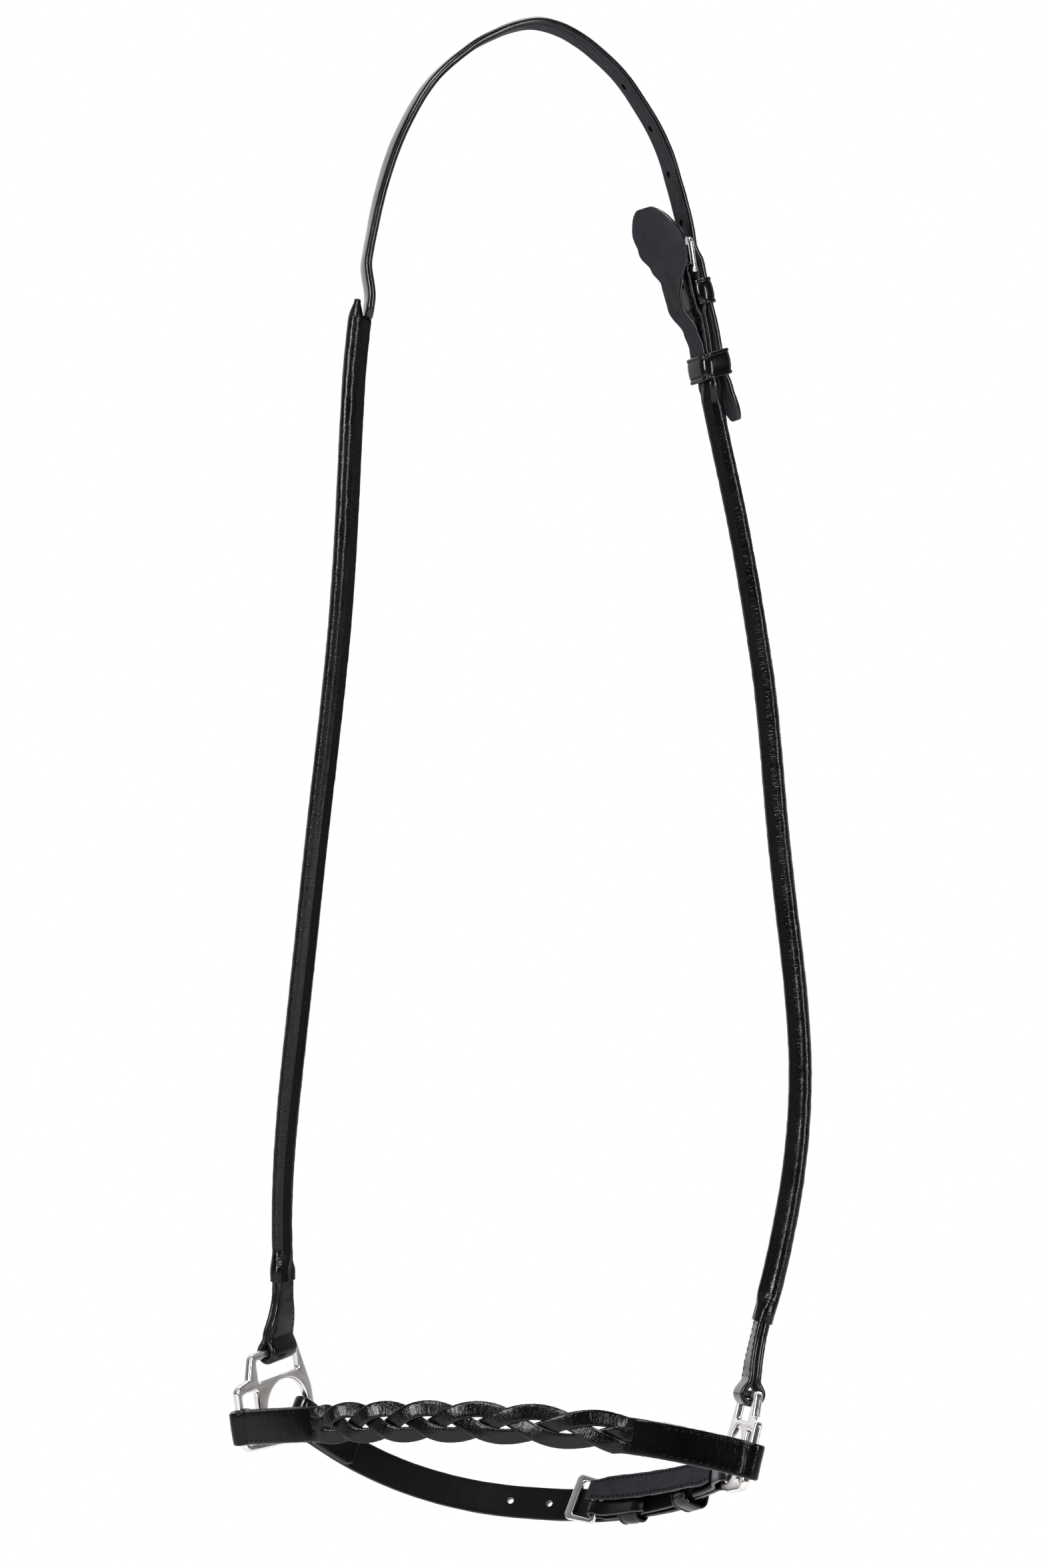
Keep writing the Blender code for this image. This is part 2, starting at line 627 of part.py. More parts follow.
def make_crown():
    start, end = OFF_CHEEK_LENGTH, CHEEK_HEEL + BILLET_TAIL
    marks = [start, start + CROWN_END_TIP / 6, start + CROWN_END_TIP / 2]
    marks += spread_steps(start + CROWN_END_TIP, CHEEK_HEEL - FRAME_LENGTH * 3, CROWN_STEP)
    marks += spread_steps(marks[-1], CHEEK_HEEL + HEEL_EYE * 2, FRAME_LENGTH / 5)[1:]
    marks += spread_steps(marks[-1], end - CROWN_END_TIP * 2, FRAME_LENGTH / 2)[1:]
    marks += [end - CROWN_END_TIP, end - CROWN_END_TIP / 2, end - CROWN_END_TIP / 6, end]
    path = [(m, crown_height(m)) for m in marks]
    sections = []
    for m in marks:
        width = min(tip(CROWN_WIDTH, m - start, CROWN_END_TIP), tip(CROWN_WIDTH, end - m, CROWN_END_TIP * 2))
        sections.append(strap_section(width, CROWN_THICK, CROWN_ROUND_SHARE))
    strap = loft("crown_strap", rings_along(HEAD, path, sections))
    used = CHEEK_HEEL - TONGUE_HOLE
    round_holes = [used - CROWN_HOLE_FIRST - HOLE_PITCH * k for k in range(CROWN_HOLES_ABOVE_BUCKLE)]
    round_holes += [used + HOLE_PITCH * (k + 1) for k in range(CROWN_HOLES_BELOW_BUCKLE)]
    depth = CROWN_THICK / 2 + SEAM_GAP
    cut(strap, punch("crown_holes", HEAD, round_holes, [crown_height(p) for p in round_holes],
                     HOLE_ACROSS, HOLE_ACROSS, depth))
    cut(strap, punch("crown_tongue_hole", HEAD, [used], [crown_height(used)],
                     TONGUE_HOLE_LENGTH, TONGUE_HOLE_WIDTH, CROWN_THICK))
    return strap


# Rolled cheeks.
def roll_outside(flange_share, size_share):
    turns = [math.radians(a) for a in (-78, -56, -35, 0, 35, 70, 110, 145, 180, 215, 236, 258)]
    radius = ROLL_RADIUS * size_share
    ring = [(radius * math.cos(a), ROLL_OFFSET + radius * math.sin(a)) for a in turns]
    half = FLANGE_THICK / 2
    root = -FLANGE_REACH * FLANGE_ROOT_SHARE
    seam = {0: (half * 0.9, -FLANGE_REACH), 1: (half * 1.1, root),
            10: (-half * 1.1, root), 11: (-half * 0.9, -FLANGE_REACH)}
    for i, (w, h) in seam.items():
        ring[i] = (between(ring[i][0], w, flange_share), between(ring[i][1], h, flange_share))
    return ring


def twelve_turns():
    return [math.radians(-75 + 30 * k) for k in range(12)]


def roll_inside():
    radius = CORE_RADIUS + SEAM_GAP
    return [(radius * math.cos(a), ROLL_OFFSET + radius * math.sin(a)) for a in twelve_turns()]


def mouth_ring(half_width, half_thick):
    ring = []
    for a in twelve_turns():
        c, s = math.cos(a), math.sin(a)
        ring.append((half_width * math.copysign(abs(c) ** MOUTH_SQUARE_SHARE, c),
                     half_thick * math.copysign(abs(s) ** MOUTH_SQUARE_SHARE, s)))
    return ring


def blend_rings(a, b, share):
    return [(between(p[0], q[0], share), between(p[1], q[1], share)) for p, q in zip(a, b)]


def mouth_shares(marks, mouths):
    """How far each mark's section is towards the open mouth's."""
    shares = []
    for m in marks:
        nearest = min(abs(m - mouth) for mouth in mouths)
        shares.append(1 - ease((nearest - MOUTH_STRAIGHT) / MOUTH_TAPER))
    return shares


def mouth_marks(mouth, way):
    return [mouth + way * d for d in (0.0, MOUTH_STRAIGHT, MOUTH_STRAIGHT + MOUTH_TAPER / 3,
                                      MOUTH_STRAIGHT + MOUTH_TAPER * 2 / 3, MOUTH_STRAIGHT + MOUTH_TAPER)]


def make_off_roll():
    mouth, top = TAB_MOUTH, OFF_CHEEK_LENGTH + CROWN_OVERLAP_EASE / 2
    lower = mouth_marks(mouth, 1)
    seam_end = OFF_CHEEK_LENGTH - SEAM_GAP
    upper = [top - SHOULDER_LENGTH * s for s in (0.55, 0.25, 0.08, 0.0)]
    marks = lower + spread_steps(lower[-1], seam_end - MOUTH_TAPER / 2, ROLL_STEP)[1:]
    marks += [seam_end] + upper
    shares = mouth_shares(marks, [mouth])
    outer, inner = [], []
    for m, share in zip(marks, shares):
        flange = 1.0 if m < seam_end - SEAM_GAP else 0.0
        size = between(1.0, SHOULDER_SHARE, ease((m - top + SHOULDER_LENGTH) / SHOULDER_LENGTH) ** 2)
        mouth_outside = mouth_ring(MOUTH_HALF_WIDTH, MOUTH_HALF_THICK)
        outer.append(blend_rings(roll_outside(flange, size), mouth_outside, share))
    bore_marks = [m for m in marks if m < seam_end]
    for m, share in zip(bore_marks, shares):
        slot = mouth_ring(MOUTH_HALF_WIDTH - MOUTH_WALL, MOUTH_HALF_THICK - MOUTH_WALL)
        inner.append(blend_rings(roll_inside(), slot, share))
    skin = rings_along(HEAD, [(m, 0.0) for m in marks], outer)
    bore = rings_along(HEAD, [(m, 0.0) for m in bore_marks], inner)
    loft("off_cheek_roll", bore[::-1] + skin)
    make_core("off_cheek_core", lower[-1], bore_marks[-1] - SEAM_GAP)


NEAR_ROLL_TOP = CHEEK_HEEL + CHEEK_RUNNER_PLACE + KEEPER_LENGTH / 2 + 4 * RUNNING_GAP


def make_near_roll():
    mouth, top = HEAD.length - TAB_MOUTH, NEAR_ROLL_TOP
    lower, upper = mouth_marks(mouth, -1), mouth_marks(top, 1)
    marks = upper + spread_steps(upper[-1], lower[-1], ROLL_STEP)[1:-1] + lower[::-1]
    outer, inner = [], []
    mouth_outside = mouth_ring(MOUTH_HALF_WIDTH, MOUTH_HALF_THICK)
    for share in mouth_shares(marks, [mouth, top]):
        outer.append(blend_rings(roll_outside(1.0, 1.0), mouth_outside, share))
        slot = mouth_ring(MOUTH_HALF_WIDTH - MOUTH_WALL, MOUTH_HALF_THICK - MOUTH_WALL)
        inner.append(blend_rings(roll_inside(), slot, share))
    path = [(m, 0.0) for m in marks]
    skin = rings_along(HEAD, path, outer)
    bore = rings_along(HEAD, path, inner)
    loft("near_cheek_roll", skin + bore[::-1], closed=True)
    make_core("near_cheek_core", upper[-1], lower[-1])


def make_core(name, start, end):
    marks = spread_steps(start, end, ROLL_STEP)
    section = [(w, h + ROLL_OFFSET) for w, h in round_section(CORE_RADIUS, 6)]
    loft(name, rings_along(HEAD, [(m, 0.0) for m in marks], [section] * len(marks)))


# Flat ends of the cheeks, folded round the fittings' top bars and the buckle's heel bar.
def make_fold(name, centre, way, radius, mouth, wide, thick, half, keeper=()):
    """Two layers from inside a roll's mouth to a fold round a bar."""
    reach = abs(mouth - centre) + INSERTION
    steps = fold_steps(0.0, EYE_SPREAD, reach, EYE_SPREAD, keeper)
    path = fold(centre, way, radius, (steps, steps), half)
    sections = []
    for place, _ in path:
        away = (place - centre) * way
        share = ease((away - EYE_SPREAD) / (reach - INSERTION - EYE_SPREAD - MOUTH_STRAIGHT))
        sections.append(strap_section(between(wide, min(TAB_NECK, wide), share), thick))
    return loft(name, rings_along(HEAD, path, sections))


def make_tabs():
    radius = BAR_HALF + TAB_EYE_CLEARANCE + TAB_THICK / 2
    layers = closing(0.0, EYE_SPREAD, radius, SEAM_GAP / 2 + TAB_THICK / 2)
    make_fold("off_cheek_tab", TAB_EYE_RISE, 1, radius, TAB_MOUTH, TAB_WIDTH, TAB_THICK, layers)
    make_fold("near_cheek_tab", HEAD.length - TAB_EYE_RISE, -1, radius, HEAD.length - TAB_MOUTH,
              TAB_WIDTH, TAB_THICK, layers)
    ends = keeper_ends(CHEEK_KEEPER_PLACE)
    chape = make_fold("near_cheek_chape", CHEEK_HEEL, 1, HEEL_EYE, NEAR_ROLL_TOP, CROWN_WIDTH, CHAPE_THICK,
                      round_keeper(HEEL_EYE, CHAPE_HALF, *ends), ends)
    cut(chape, tongue_slot("cheek_tongue_slot", HEAD, CHEEK_HEEL))


# Buckles: a cast frame, a wire tongue on its heel bar, and the fold that holds it.
def tongue_slot(name, lane, heel):
    depth = HEEL_EYE + CHAPE_THICK
    middle = heel + (TONGUE_SLOT_REACH - depth) / 2
    return punch(name, lane, [middle], [0.0], TONGUE_SLOT_REACH + depth, TONGUE_SLOT, depth)


def frame_place(lane, heel, askew):
    """The frame lies along the lane's chord, so that a bending strap clears its front bar."""
    point, along, across, out = lane.at(heel)
    front = lane.at(heel - FRAME_LENGTH)
    turn, shift = askew
    forward = unit(front[0] - point)
    across = unit(across + front[2])
    across = unit(across - forward * np.dot(across, forward))
    c, s = math.cos(turn), math.sin(turn)
    wide, ahead = across * c - forward * s, across * s + forward * c
    return point + across * shift, wide, ahead, np.cross(wide, ahead)


def make_frame(name, lane, heel, strap_width, askew=(0.0, 0.0)):
    inner = strap_width / 2 + RUNNING_GAP
    outer = inner + FRAME_SIDE
    outline = rounded([(-outer, -HEEL_RADIUS, FRAME_CORNER / 2), (outer, -HEEL_RADIUS, FRAME_CORNER / 2),
                       (outer, FRAME_LENGTH, FRAME_CORNER), (-outer, FRAME_LENGTH, FRAME_CORNER)])
    corner = FRAME_CORNER / 3
    front = FRAME_LENGTH - FRAME_FRONT
    hole = rounded([(-inner, HEEL_RADIUS, corner), (inner, HEEL_RADIUS, corner),
                    (inner, front, corner), (-inner, front, corner)])
    return casting(name, frame_place(lane, heel, askew), outline, [hole], FRAME_THICK, FRAME_EDGE)


def make_tongue(name, lane, heel, height, thick):
    """A wire bent round the heel bar, up through the strap's hole and along it to the front bar."""
    loop = HEEL_ROUND + RUNNING_GAP + SEAM_GAP + TONGUE_RADIUS
    turns = [math.pi / 2 + TONGUE_LOOP * k / 9 for k in range(9, 0, -1)]
    path = [(heel - loop * math.cos(a), loop * math.sin(a)) for a in turns] + [(heel, loop)]
    clear = thick / 2 + TONGUE_RADIUS + SEAM_GAP
    hole = heel - TONGUE_HOLE
    path += [(hole + TONGUE_HOLE * 0.52, loop + SEAM_GAP / 2),
             (hole + TONGUE_RADIUS * 1.5, height(hole) - thick / 2),
             (hole - TONGUE_RADIUS * 0.7, height(hole) + thick / 2),
             (hole - TONGUE_RADIUS * 3.2, height(hole - TONGUE_RADIUS * 3.2) + clear)]
    over = heel - FRAME_LENGTH
    path += [(between(hole - TONGUE_RADIUS * 3.2, over, s),
              height(between(hole - TONGUE_RADIUS * 3.2, over, s)) + clear) for s in (0.5, 1.0)]
    sections = [round_section(TONGUE_RADIUS)] * (len(path) - 1) + [round_section(TONGUE_RADIUS * 0.7)]
    return loft(name, rings_along(lane, path, sections))


def make_keeper(name, lane, place, low, high, half_width, shift=0.0):
    """A closed leather band round the layers, from low to high off the lane."""
    point, along, across, out = lane.at(place)
    point = point + across * shift
    middle = (low + high) / 2
    tall = (high - low) / 2
    outer = box_outline(half_width + KEEPER_WALL, tall + KEEPER_WALL, KEEPER_CORNER + KEEPER_WALL)
    inner = box_outline(half_width, tall, KEEPER_CORNER)
    place = (point + out * middle, across, out, along)
    return casting(name, place, outer, [inner], KEEPER_LENGTH, KEEPER_EDGE, rounds=0)


def box_outline(half_width, half_height, radius):
    w, h = half_width, half_height
    return rounded([(-w, -h, radius), (w, -h, radius), (w, h, radius), (-w, h, radius)])


def make_cheek_buckle():
    make_frame("cheek_buckle_frame", HEAD, CHEEK_HEEL, CROWN_WIDTH)
    make_tongue("cheek_buckle_tongue", HEAD, CHEEK_HEEL, crown_height, CROWN_THICK)
    half = CROWN_WIDTH / 2 + SEAM_GAP
    place = CHEEK_HEEL + CHEEK_KEEPER_PLACE
    top = highest(crown_height, place, CROWN_THICK)
    make_keeper("cheek_fixed_keeper", HEAD, place, KEEPER_WALL / 2, top + SEAM_GAP, half)
    place = CHEEK_HEEL + CHEEK_RUNNER_PLACE
    lowest = CHAPE_HALF + CHAPE_THICK / 2 + SEAM_GAP + GUARD_THICK
    make_keeper("cheek_running_keeper", HEAD, place, -lowest - RUNNING_GAP,
                highest(crown_height, place, CROWN_THICK) + RUNNING_GAP, half + RUNNING_GAP)


def highest(height, place, thick):
    """The highest face of the billet inside a keeper."""
    return max(height(place + KEEPER_LENGTH * s) for s in (-0.5, 0.0, 0.5)) + thick / 2


def cheek_guard_row(place, column):
    rest = CHAPE_HALF + CHAPE_THICK / 2 + SEAM_GAP + GUARD_THICK / 2
    rows = [(row[0] * CHEEK_GUARD_REACH, row[column]) for row in CHEEK_GUARD_SHARES]
    if column == 1:
        rows.append((CHEEK_RUNNER_PLACE - KEEPER_LENGTH * 0.75, rest / CHEEK_GUARD_DEPTH))
        rows.append((CHEEK_GUARD_TAIL, rest / CHEEK_GUARD_DEPTH))
    return table(rows, place)


def make_cheek_guard():
    start = -CHEEK_GUARD_REACH
    marks = [start + CHEEK_GUARD_WIDTH * s for s in (0.0, 0.03, 0.1, 0.2, 0.34, 0.5)]
    marks += spread_steps(marks[-1], CHEEK_GUARD_TAIL, FRAME_LENGTH / 4)[1:]
    path, sections = [], []
    for m in marks:
        path.append((CHEEK_HEEL + m, -cheek_guard_row(m, 1) * CHEEK_GUARD_DEPTH))
        width = tip(cheek_guard_row(m, 2) * CHEEK_GUARD_WIDTH, m - start, CHEEK_GUARD_WIDTH / 2)
        turn = cheek_guard_row(m, 3) * CHEEK_GUARD_TURN
        c, s = math.cos(turn), math.sin(turn)
        sections.append([(w * c - h * s, w * s + h * c) for w, h in strap_section(width, GUARD_THICK)])
    return loft("cheek_buckle_guard", rings_along(HEAD, path, sections))


# Nosepiece.
def nose_lane():
    start = on_ring(-1, -(NOSE_BAR_OUTER + NOSE_BAR_INNER) / 2, -OFF_STRAP_DROP)
    end = on_ring(1, -(NOSE_BAR_OUTER + NOSE_BAR_INNER) / 2, -NEAR_STRAP_DROP)
    forward = noseband_direction(0, -1, 0)
    line = []
    for k in range(121):
        s = k / 120
        arch = 4 * s * (1 - s)
        rise = NOSE_RISE * (1 + NOSE_RISE_SKEW_SHARE * (2 * s - 1))
        line.append(between(start, end, s) + forward * NOSE_BOW * arch + UP * rise * arch)
    off_up, near_up = ring_place(-1)[2], ring_place(1)[2]

    def across(s):
        ends = between(off_up, near_up, ease(s))
        return between(ends, unit(UP - forward * NOSE_LEAN_BACK), ease(min(s, 1 - s) * 4))

    return Lane(np.array(line), across)


NOSE = nose_lane()
NOSE_HALF = SEAM_GAP / 2 + NOSE_THICK / 2
NOSE_BAR_HALF = (NOSE_BAR_OUTER - NOSE_BAR_INNER) / 2
NOSE_BAR_ROUND = math.hypot(NOSE_BAR_HALF - CAST_EDGE, CAST_THICK / 2 - CAST_EDGE) + CAST_EDGE
NOSE_EYE = NOSE_BAR_ROUND + NOSE_EYE_CLEARANCE + NOSE_THICK / 2
THIRD = 2 * math.pi / 3


def braid_place(turn):
    """Distance along the nosepiece at this turn of the plait; its lobes lengthen towards the near side."""
    lobes = turn / THIRD
    growth = (BRAID_LOBE_END - BRAID_LOBE_START) / BRAID_LOBES
    return BRAID_START + BRAID_LOBE_START * lobes + growth * lobes**2 / 2


def braid_marks():
    """The plait's turn and its lift, from one flat end to the other."""
    end = THIRD * BRAID_LOBES
    count = BRAID_LOBES * BRAID_STEPS_PER_LOBE
    marks = [(BRAID_START - BRAID_LEAD - BRAID_INSERT, 0.0, 0.0)]
    marks += [(BRAID_START - BRAID_LEAD * (1 - s), 0.0, ease(s)) for s in (0.0, 0.3, 0.6, 0.85)]
    marks += [(braid_place(end * k / count), end * k / count, 1.0) for k in range(count + 1)]
    finish = braid_place(end)
    marks += [(finish + BRAID_LEAD * (1 - s), end, ease(s)) for s in (0.85, 0.6, 0.3, 0.0)]
    marks += [(finish + BRAID_LEAD + BRAID_INSERT, end, 0.0)]
    return marks


def strand_section():
    ring = []
    for k in range(8):
        a = 2 * math.pi * (k + 0.5) / 8
        c, s = math.cos(a), math.sin(a)
        wide = math.copysign(abs(c) ** STRAND_SQUARE_SHARE, c) / math.cos(math.pi / 8)
        ring.append((BRAID_STRAND_WIDTH / 2 * wide,
                     BRAID_STRAND_THICK / 2 * math.copysign(abs(s) ** STRAND_SQUARE_SHARE, s)))
    return ring


def strand_line(number):
    line = []
    for place, turn, lift in braid_marks():
        phase = turn + number * THIRD
        point, along, across, out = NOSE.at(place)
        sideways = BRAID_HALF_WIDTH * math.sin(phase)
        height = NOSE_HALF + BRAID_LIFT * lift * math.sin(2 * phase)
        line.append((point + across * sideways + out * height, across, out))
    return line


def make_strand(number):
    line = strand_line(number)
    section = strand_section()
    rings = []
    for i, (point, across, out) in enumerate(line):
        ahead = unit(line[min(i + 1, len(line) - 1)][0] - line[max(i - 1, 0)][0])
        side = unit(across - ahead * np.dot(across, ahead))
        face = np.cross(ahead, side)
        rings.append([point + side * w + face * h for w, h in section])
    return loft(f"strand_{number + 1}", rings)


def make_nose_end(name, centre, way, finish):
    short = fold_steps(0.0, EYE_SPREAD, NOSE_FOLD_BACK, NOSE_FLAT_STEP)
    long = fold_steps(0.0, EYE_SPREAD, abs(finish - centre), NOSE_FLAT_STEP)
    path = fold(centre, way, NOSE_EYE, (short, long), closing(0.0, EYE_SPREAD, NOSE_EYE, NOSE_HALF))
    sections = [strap_section(NOSE_WIDTH, NOSE_THICK)] * len(path)
    return loft(name, rings_along(NOSE, path, sections))


def make_nosepiece():
    piece = make_nose_end("braided_nosepiece", 0.0, 1, BRAID_START - BRAID_LEAD)
    finish = braid_place(THIRD * BRAID_LOBES) + BRAID_LEAD
    far_end = make_nose_end("nosepiece_near_end", NOSE.length, -1, finish)
    for number in range(3):
        join(piece, make_strand(number))
    join(piece, far_end)


# Chin strap.
def chin_start(side):
    """Where the chin strap's fold sits in a ring, the way it leaves, and its width there."""
    bar, rear, upward, facing = ring_place(side)
    slope = CHIN_OFF_LEAVE if side < 0 else CHIN_NEAR_LEAVE
    leave = unit(rear * math.cos(slope) - upward * math.sin(slope))
    tangent = np.cross(facing, leave)
    if tangent[2] > 0:
        tangent = -tangent
    return bar - upward * RING_HOLE_DROP + leave * CHIN_RADIAL, leave, tangent


def chin_lane():
    a, off_leave, off_width = chin_start(-1)
    d, near_leave, near_width = chin_start(1)
    _, near_rear, near_up, _ = ring_place(1)
    aim = near_rear * math.cos(CHIN_NEAR_AIM) - near_up * math.sin(CHIN_NEAR_AIM)
    b = a + off_leave * CHIN_OFF_HANDLE - UP * CHIN_SAG
    c = d + aim * CHIN_NEAR_HANDLE + UP * CHIN_NEAR_LIFT
    line = []
    for k in range(161):
        s = k / 160
        line.append(a * (1 - s) ** 3 + 3 * b * s * (1 - s) ** 2 + 3 * c * s**2 * (1 - s) + d * s**3)
    middle = noseband_direction(0, -math.sin(CHIN_SLOPE), -math.cos(CHIN_SLOPE))

    def across(s):
        return between(off_width if s < 0.5 else near_width, middle, ease(min(s, 1 - s) * 3))

    return Lane(np.array(line), across)


CHIN = chin_lane()
CHIN_HEEL = CHIN.length - CHIN_NEAR_LENGTH
CHIN_HALF = SEAM_GAP / 2 + CHIN_THICK / 2
CHIN_EYE = CAST_THICK / 2 + CHIN_EYE_CLEARANCE + CHIN_THICK / 2
CHIN_FLANK = RIM_REACH + CHIN_EYE_CLEARANCE - CHIN_RADIAL
CHIN_HEEL_EYE = HEEL_EYE + SEAM_GAP


def chin_height(place):
    """How far off its lane the long half runs, lying over the buckle and the short half."""
    over_front = FRAME_THICK / 2 + SEAM_GAP + CHIN_THICK / 2
    over_heel = CHIN_HEEL_EYE + CHAPE_THICK / 2 + SEAM_GAP + CHIN_THICK / 2
    rows = (
        (CHIN_HEEL - FRAME_LENGTH * 2.5, CHIN_HALF),
        (CHIN_HEEL - FRAME_LENGTH, over_front),
        (CHIN_HEEL - FRAME_LENGTH * 0.8, over_front),
        (CHIN_HEEL - HEEL_EYE, over_heel),
        (CHIN_HEEL + CHIN_TAIL, over_heel),
    )
    return table(rows, place)


def chin_askew(place):
    """The buckle hangs a little askew and high, and the short half that holds it too."""
    away = place - CHIN_HEEL
    turn = CHIN_FRAME_SKEW * (1 - ease(abs(away) / CHIN_SKEW_REACH))
    return turn, -CHIN_FRAME_LIFT * (1 - ease(away / CHIN_LIFT_REACH))


def make_off_chin():
    joined = CHIN_FLANK + EYE_SPREAD
    end = CHIN_HEEL + CHIN_TAIL
    short = fold_steps(CHIN_FLANK, EYE_SPREAD, CHIN_FOLD_BACK, CHIN_STEP)
    long = fold_steps(CHIN_FLANK, EYE_SPREAD, CHIN_HEEL - FRAME_LENGTH * 2, CHIN_STEP)
    path = fold(0.0, 1, CHIN_EYE, (short, long), closing(CHIN_FLANK, EYE_SPREAD, CHIN_EYE, CHIN_HALF))
    run = spread_steps(long[-1], CHIN_HEEL + HEEL_EYE, FRAME_LENGTH / 5)[1:]
    run += spread_steps(run[-1], end - CROWN_END_TIP * 2, CHIN_STEP)[1:]
    run += [end - CROWN_END_TIP, end - CROWN_END_TIP / 2, end - CROWN_END_TIP / 6, end]
    path += [(m, chin_height(m)) for m in run]
    sections = [strap_section(tip(CHIN_WIDTH, end - m, CROWN_END_TIP * 2), CHIN_THICK) for m, _ in path]
    strap = loft("off_chin_strap", rings_along(CHIN, path, sections))
    holes = [CHIN_HEEL - CHIN_HOLE_FIRST - CHIN_HOLE_PITCH * k for k in range(CHIN_HOLES_BEFORE_BUCKLE)]
    holes += [CHIN_HEEL - CHIN_HOLE_FIRST + CHIN_HOLE_PITCH * (k + 2) for k in range(CHIN_HOLES_AFTER_BUCKLE)]
    cut(strap, punch("chin_holes", CHIN, holes, [chin_height(p) for p in holes],
                     HOLE_ACROSS, HOLE_ACROSS, CHIN_THICK))
    used = CHIN_HEEL - TONGUE_HOLE
    cut(strap, punch("chin_tongue_hole", CHIN, [used], [chin_height(used)],
                     TONGUE_HOLE_LENGTH, TONGUE_HOLE_WIDTH, CHIN_THICK))


def make_near_chin():
    """Folded at both ends: round the buckle's heel bar and round the near ring."""
    ends = keeper_ends(CHIN_KEEPER_PLACE)
    at_heel = round_keeper(CHIN_HEEL_EYE, CHAPE_HALF, *ends)
    radius = CAST_THICK / 2 + CHIN_NEAR_CLEARANCE + CHAPE_THICK / 2
    at_ring = closing(CHIN_FLANK, EYE_SPREAD, radius, CHAPE_HALF)
    span = CHIN_NEAR_LENGTH - CHIN_FLANK - EYE_SPREAD
    steps = fold_steps(0.0, EYE_SPREAD, CHIN_NEAR_FOLD, CHIN_STEP / 2, ends)
    heel_path = fold(CHIN_HEEL, 1, CHIN_HEEL_EYE, (steps, steps), at_heel)
    middle = spread_steps(steps[-1], span, CHIN_STEP)[1:-1]
    ring_steps = fold_steps(CHIN_FLANK, EYE_SPREAD, CHIN_NEAR_FOLD, CHIN_STEP)
    short_steps = fold_steps(CHIN_FLANK, EYE_SPREAD, CHIN_FLANK + EYE_SPREAD, CHIN_STEP)
    ring_path = fold(CHIN.length, -1, radius, (short_steps, ring_steps), at_ring, main_side=-1)
    path = heel_path + [(CHIN_HEEL + m, CHAPE_HALF) for m in middle] + ring_path
    sections = []
    for m, _ in path:
        width = between(CHIN_WIDTH - CHIN_NECK, CHIN_WIDTH, ease((m - CHIN_HEEL) / EYE_SPREAD))
        sections.append(strap_section(width, CHAPE_THICK))
    strap = loft("near_chin_strap", rings_along(CHIN, path, sections, chin_askew))
    cut(strap, tongue_slot("chin_tongue_slot", CHIN, CHIN_HEEL))


def make_chin_buckle():
    make_frame("chin_buckle_frame", CHIN, CHIN_HEEL, CHIN_WIDTH, chin_askew(CHIN_HEEL))
    make_tongue("chin_buckle_tongue", CHIN, CHIN_HEEL, chin_height, CHIN_THICK)
    place = CHIN_HEEL + CHIN_KEEPER_PLACE
    lean = chin_askew(place)[1] / 2
    half = CHIN_WIDTH / 2 + abs(lean) + RUNNING_GAP
    top = highest(chin_height, place, CHIN_THICK)
    make_keeper("chin_fixed_keeper", CHIN, place, KEEPER_WALL / 2, top + SEAM_GAP, half, lean)
    place = CHIN_HEEL + CHIN_RUNNER_PLACE
    lean = chin_askew(place)[1] / 2
    half = CHIN_WIDTH / 2 + abs(lean) + RUNNING_GAP
    top = highest(chin_height, place, CHIN_THICK)
    make_keeper("chin_running_keeper", CHIN, place, -CHAPE_HALF - CHAPE_THICK / 2 - RUNNING_GAP,
                top + RUNNING_GAP, half, lean)


def make_chin_guard():
    rest = -(CHAPE_HALF + CHAPE_THICK / 2 + SEAM_GAP + CHIN_GUARD_THICK / 2)
    heel = -(CHIN_HEEL_EYE + CHAPE_THICK / 2 + SEAM_GAP + CHIN_GUARD_THICK / 2)
    over_runner = rest - KEEPER_WALL - 2 * RUNNING_GAP
    rise = ((-CHIN_GUARD_START, heel), (CHIN_KEEPER_PLACE + KEEPER_LENGTH, heel),
            (CHIN_RUNNER_PLACE - KEEPER_LENGTH, over_runner),
            (CHIN_RUNNER_PLACE + KEEPER_LENGTH, over_runner),
            (CHIN_GUARD_LENGTH, rest))
    widths = ((-CHIN_GUARD_START, CHIN_GUARD_WIDTH * 0.8), (CHIN_KEEPER_PLACE / 2, CHIN_GUARD_WIDTH),
              (CHIN_GUARD_LENGTH * 0.9, CHIN_GUARD_WIDTH), (CHIN_GUARD_LENGTH, CHIN_GUARD_WIDTH * 0.8))
    marks = spread_steps(-CHIN_GUARD_START, CHIN_GUARD_LENGTH, FRAME_LENGTH / 4)
    path = [(CHIN_HEEL + m, table(rise, m)) for m in marks]
    sections = []
    for m in marks:
        lift = -CHIN_GUARD_LIFT * ease(1 - m / CHIN_GUARD_LENGTH)
        sections.append([(w + lift, h) for w, h in strap_section(table(widths, m), CHIN_GUARD_THICK)])
    return loft("chin_guard", rings_along(CHIN, path, sections, chin_askew))


# Materials, and the bodies that the pieces move with.
def material(name, colour, roughness, metallic):
    made = bpy.data.materials.new(name)
    made.use_nodes = True
    shader = made.node_tree.nodes["Principled BSDF"]
    shader.inputs["Base Color"].default_value = (*colour, 1.0)
    shader.inputs["Roughness"].default_value = roughness
    shader.inputs["Metallic"].default_value = metallic
    return made


